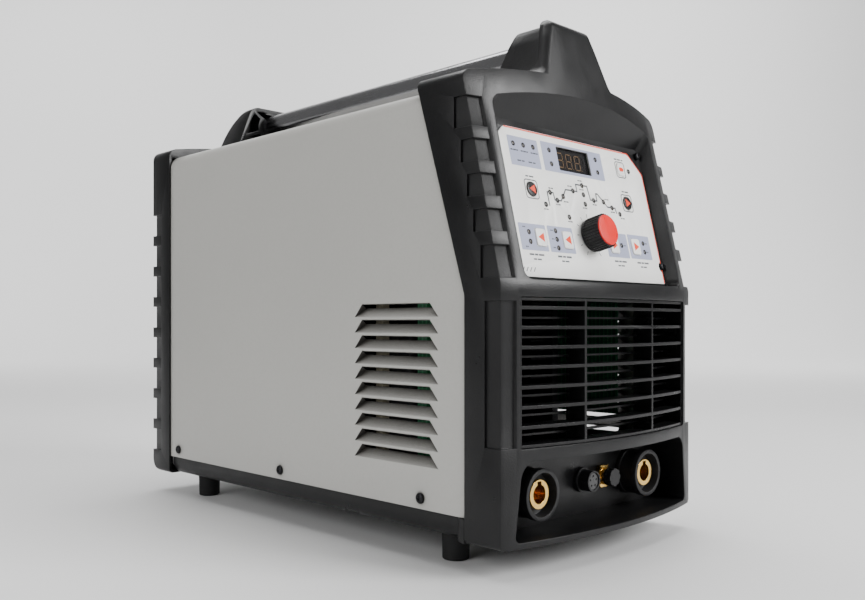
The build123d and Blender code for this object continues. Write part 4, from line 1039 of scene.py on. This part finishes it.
def make_windings():
    """Turns of enamelled wire on the transformer and the ignition coil."""
    low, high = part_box("transformer_winding")
    size = high - low
    centre = (low + high) / 2
    wire, count = 1.5 * MM, 17
    pitch = (size.z - 2 * wire) / (count - 1)
    turns = turns_tree("transformer_turns", "copper_winding").run(bpy.data.meshes.new("empty"), {
        "Count": count, "Pitch": pitch, "Width": size.x - 2 * wire, "Depth": size.y - 2 * wire,
        "Corner Radius": 6 * MM, "Wire Radius": wire * 0.98})
    turns.transform(Matrix.Translation((centre.x, centre.y, low.z + wire)))
    piece_from("transformer_wire", tidy_mesh(turns), ["copper_winding"], "case",
               ("transformer_winding",))
    dress("hf_coil", "copper_winding")


def make_inside():
    """Boards, magnetics, cooling and gas parts behind the cover."""
    dress_all(
        deck="insulating_board", main_board="board_green", control_board="board_green",
        driver_board="board_green", capacitors="sleeve_blue", heat_sinks="anodised_black",
        power_modules="black_moulding", transformer_core="core_iron", output_choke="core_iron",
        busbars="copper_bar", gas_valve="brass_turned", gas_hose_inlet="hose_blue",
        gas_hose_outlet="hose_blue", encoder="zinc_bright")
    make_windings()


def make_stage():
    """Pale sweep, soft key and fill lights, and the camera."""
    look = bpy.context.scene.welder_stage
    work = bmesh.new()
    half_width, flat_end, bend, drop, steps = 9.0, 3.2, 2.0, 0.0002, 12
    rows = [(-6.0, 0.0), (flat_end, 0.0)]
    for k in range(1, steps + 1):
        angle = math.radians(90 * k / steps)
        rows.append((flat_end + bend * math.sin(angle), bend - bend * math.cos(angle)))
    rows.append((flat_end + bend, 7.0))
    previous = None
    way = Matrix.Rotation(-look.heading, 4, "Z")
    for y, z in rows:
        pair = [work.verts.new(way @ Vector((x, y, z - drop))) for x in (-half_width, half_width)]
        if previous:
            work.faces.new((previous[0], previous[1], pair[1], pair[0]))
        previous = pair
    mesh = mesh_from(work, face_out=False)
    mesh.shade_smooth()
    mesh.materials.append(finish_of("floor_pale"))
    floor = new_object("sweep", mesh)
    lamps = [
        ("overhead", (0.3, 0.3, 2.2), (0.0, 0.0, 0.0), 1.8, look.overhead_power),
        ("left_panel", (-2.2, -0.1, 1.0), (0.0, 0.0, 0.2), 1.4, look.side_power),
        ("front_panel", (0.9, -2.2, 1.3), (0.0, -0.2, 0.2), 1.2, look.front_power),
        ("wall_left", (-0.6, 3.6, 2.6), (1.4, 5.6, 0.9), 1.6, look.wall_power),
        ("wall_right", (2.6, 0.8, 2.6), (5.0, 2.6, 0.9), 1.6, look.wall_power),
    ]
    for name, place, aim, size, power in lamps:
        light = bpy.data.lights.new(name, "AREA")
        light.shape = "SQUARE"
        light.size = size
        light.energy = power
        holder = new_object(name, light)
        holder.location = place
        holder.rotation_euler = (Vector(aim) - Vector(place)).to_track_quat("-Z", "Y").to_euler()
    world = bpy.data.worlds.new("studio")
    world.use_nodes = True
    world.node_tree.nodes["Background"].inputs["Color"].default_value = (1.0, 1.0, 1.0, 1.0)
    world.node_tree.nodes["Background"].inputs["Strength"].default_value = look.ambient
    bpy.context.scene.world = world
    camera_data = bpy.data.cameras.new("camera")
    camera_data.lens = 37.53
    camera_data.sensor_width = 36.0
    camera_data.shift_y = 0.0259
    camera = new_object("camera", camera_data)
    camera.location = (-0.5640, -0.6171, 0.1710)
    camera.rotation_euler = (math.radians(90), 0, -look.heading)
    bpy.context.scene.camera = camera


# ---- settings
def colour_setting(name, description, default):
    return bpy.props.FloatVectorProperty(
        name=name, description=description, subtype="COLOR", size=3, min=0, max=1, default=default)


def power_setting(name, description, default):
    return bpy.props.FloatProperty(
        name=name, description=description, subtype="POWER", unit="POWER", min=0, default=default)


class WelderFinishes(bpy.types.PropertyGroup):
    """Colours of the main finishes."""

    cover_colour: colour_setting("Cover", "Enamel of the sheet steel cover", (0.445, 0.44, 0.415))
    moulding_colour: colour_setting(
        "Mouldings", "Plastic of the front, rear and tray", (0.0055, 0.0055, 0.006))
    dial_colour: colour_setting("Dial cap", "Cap of the setting dial", (0.78, 0.006, 0.003))
    floor_colour: colour_setting("Floor", "Sweep under and behind the machine", (0.72, 0.72, 0.72))


class WelderStage(bpy.types.PropertyGroup):
    """Lighting and viewpoint."""

    heading: bpy.props.FloatProperty(
        name="Heading", description="Camera direction, clockwise from the machine's length",
        subtype="ANGLE", unit="ROTATION", default=math.radians(44.5))
    overhead_power: power_setting("Overhead", "Power of the overhead panel", 60.0)
    side_power: power_setting("Side", "Power of the panel by the cover", 26.0)
    front_power: power_setting("Front", "Power of the panel by the controls", 84.0)
    wall_power: power_setting("Backdrop", "Power of each panel washing the backdrop", 150.0)
    ambient: bpy.props.FloatProperty(
        name="Ambient", description="Strength of the surrounding light", min=0, max=4, default=0.22)


# ---- operators
class WELDER_OT_covers(bpy.types.Operator):
    """Finish the cover, housings, tray and grille"""

    bl_idname = "welder.covers"
    bl_label = "Covers and Housings"

    def execute(self, context):
        make_covers()
        return {"FINISHED"}


class WELDER_OT_screws(bpy.types.Operator):
    """Build the screws"""

    bl_idname = "welder.screws"
    bl_label = "Screws"

    def execute(self, context):
        make_screws()
        return {"FINISHED"}


class WELDER_OT_panel(bpy.types.Operator):
    """Build the control panel's sheet and print"""

    bl_idname = "welder.panel"
    bl_label = "Panel"

    def execute(self, context):
        make_panel()
        return {"FINISHED"}


class WELDER_OT_display(bpy.types.Operator):
    """Finish the display and its digits"""

    bl_idname = "welder.display"
    bl_label = "Display"

    def execute(self, context):
        make_display()
        return {"FINISHED"}


class WELDER_OT_lamps(bpy.types.Operator):
    """Build the indicator lamps"""

    bl_idname = "welder.lamps"
    bl_label = "Lamps"

    def execute(self, context):
        make_lamps()
        return {"FINISHED"}


class WELDER_OT_keys(bpy.types.Operator):
    """Build the push keys and their marks"""

    bl_idname = "welder.keys"
    bl_label = "Keys"

    def execute(self, context):
        make_keys()
        return {"FINISHED"}


class WELDER_OT_dial(bpy.types.Operator):
    """Build the setting dial"""

    bl_idname = "welder.dial"
    bl_label = "Dial"

    def execute(self, context):
        make_dial()
        return {"FINISHED"}


class WELDER_OT_handle(bpy.types.Operator):
    """Finish the carry tube"""

    bl_idname = "welder.handle"
    bl_label = "Carry Tube"

    def execute(self, context):
        make_handle()
        return {"FINISHED"}


class WELDER_OT_connectors(bpy.types.Operator):
    """Finish the sockets and outlets"""

    bl_idname = "welder.connectors"
    bl_label = "Connectors"

    def execute(self, context):
        make_connectors()
        return {"FINISHED"}


class WELDER_OT_rear(bpy.types.Operator):
    """Finish the fan, switch and inlets"""

    bl_idname = "welder.rear"
    bl_label = "Rear"

    def execute(self, context):
        make_rear()
        return {"FINISHED"}


class WELDER_OT_inside(bpy.types.Operator):
    """Finish the parts behind the cover"""

    bl_idname = "welder.inside"
    bl_label = "Inside"

    def execute(self, context):
        make_inside()
        return {"FINISHED"}


class WELDER_OT_stage(bpy.types.Operator):
    """Build the floor, lights and camera"""

    bl_idname = "welder.stage"
    bl_label = "Stage"

    def execute(self, context):
        make_stage()
        return {"FINISHED"}


OPERATORS = (
    WELDER_OT_covers, WELDER_OT_screws, WELDER_OT_panel, WELDER_OT_display, WELDER_OT_lamps, WELDER_OT_keys,
    WELDER_OT_dial, WELDER_OT_handle, WELDER_OT_connectors, WELDER_OT_rear, WELDER_OT_inside, WELDER_OT_stage,
)


class WELDER_PT_panel(bpy.types.Panel):
    """Settings and build steps of the welding power source"""

    bl_idname = "WELDER_PT_panel"
    bl_label = "Welding Power Source"
    bl_space_type = "VIEW_3D"
    bl_region_type = "UI"
    bl_category = "Welder"

    def draw(self, context):
        for settings in (context.scene.welder_finishes, context.scene.welder_stage):
            column = self.layout.column()
            for name in settings.__annotations__:
                column.prop(settings, name)
        for operator in OPERATORS:
            self.layout.operator(operator.bl_idname)


CLASSES = (WelderFinishes, WelderStage, *OPERATORS, WELDER_PT_panel)


def register():
    for cls in CLASSES:
        bpy.utils.register_class(cls)
    bpy.types.Scene.welder_finishes = bpy.props.PointerProperty(type=WelderFinishes)
    bpy.types.Scene.welder_stage = bpy.props.PointerProperty(type=WelderStage)


def unregister():
    del bpy.types.Scene.welder_stage
    del bpy.types.Scene.welder_finishes
    for cls in reversed(CLASSES):
        bpy.utils.unregister_class(cls)


def main():
    register()
    bpy.ops.welder.covers()
    bpy.ops.welder.screws()
    bpy.ops.welder.panel()
    bpy.ops.welder.display()
    bpy.ops.welder.lamps()
    bpy.ops.welder.keys()
    bpy.ops.welder.dial()
    bpy.ops.welder.handle()
    bpy.ops.welder.connectors()
    bpy.ops.welder.rear()
    bpy.ops.welder.inside()
    bpy.ops.welder.stage()


if __name__ == "__main__":
    main()
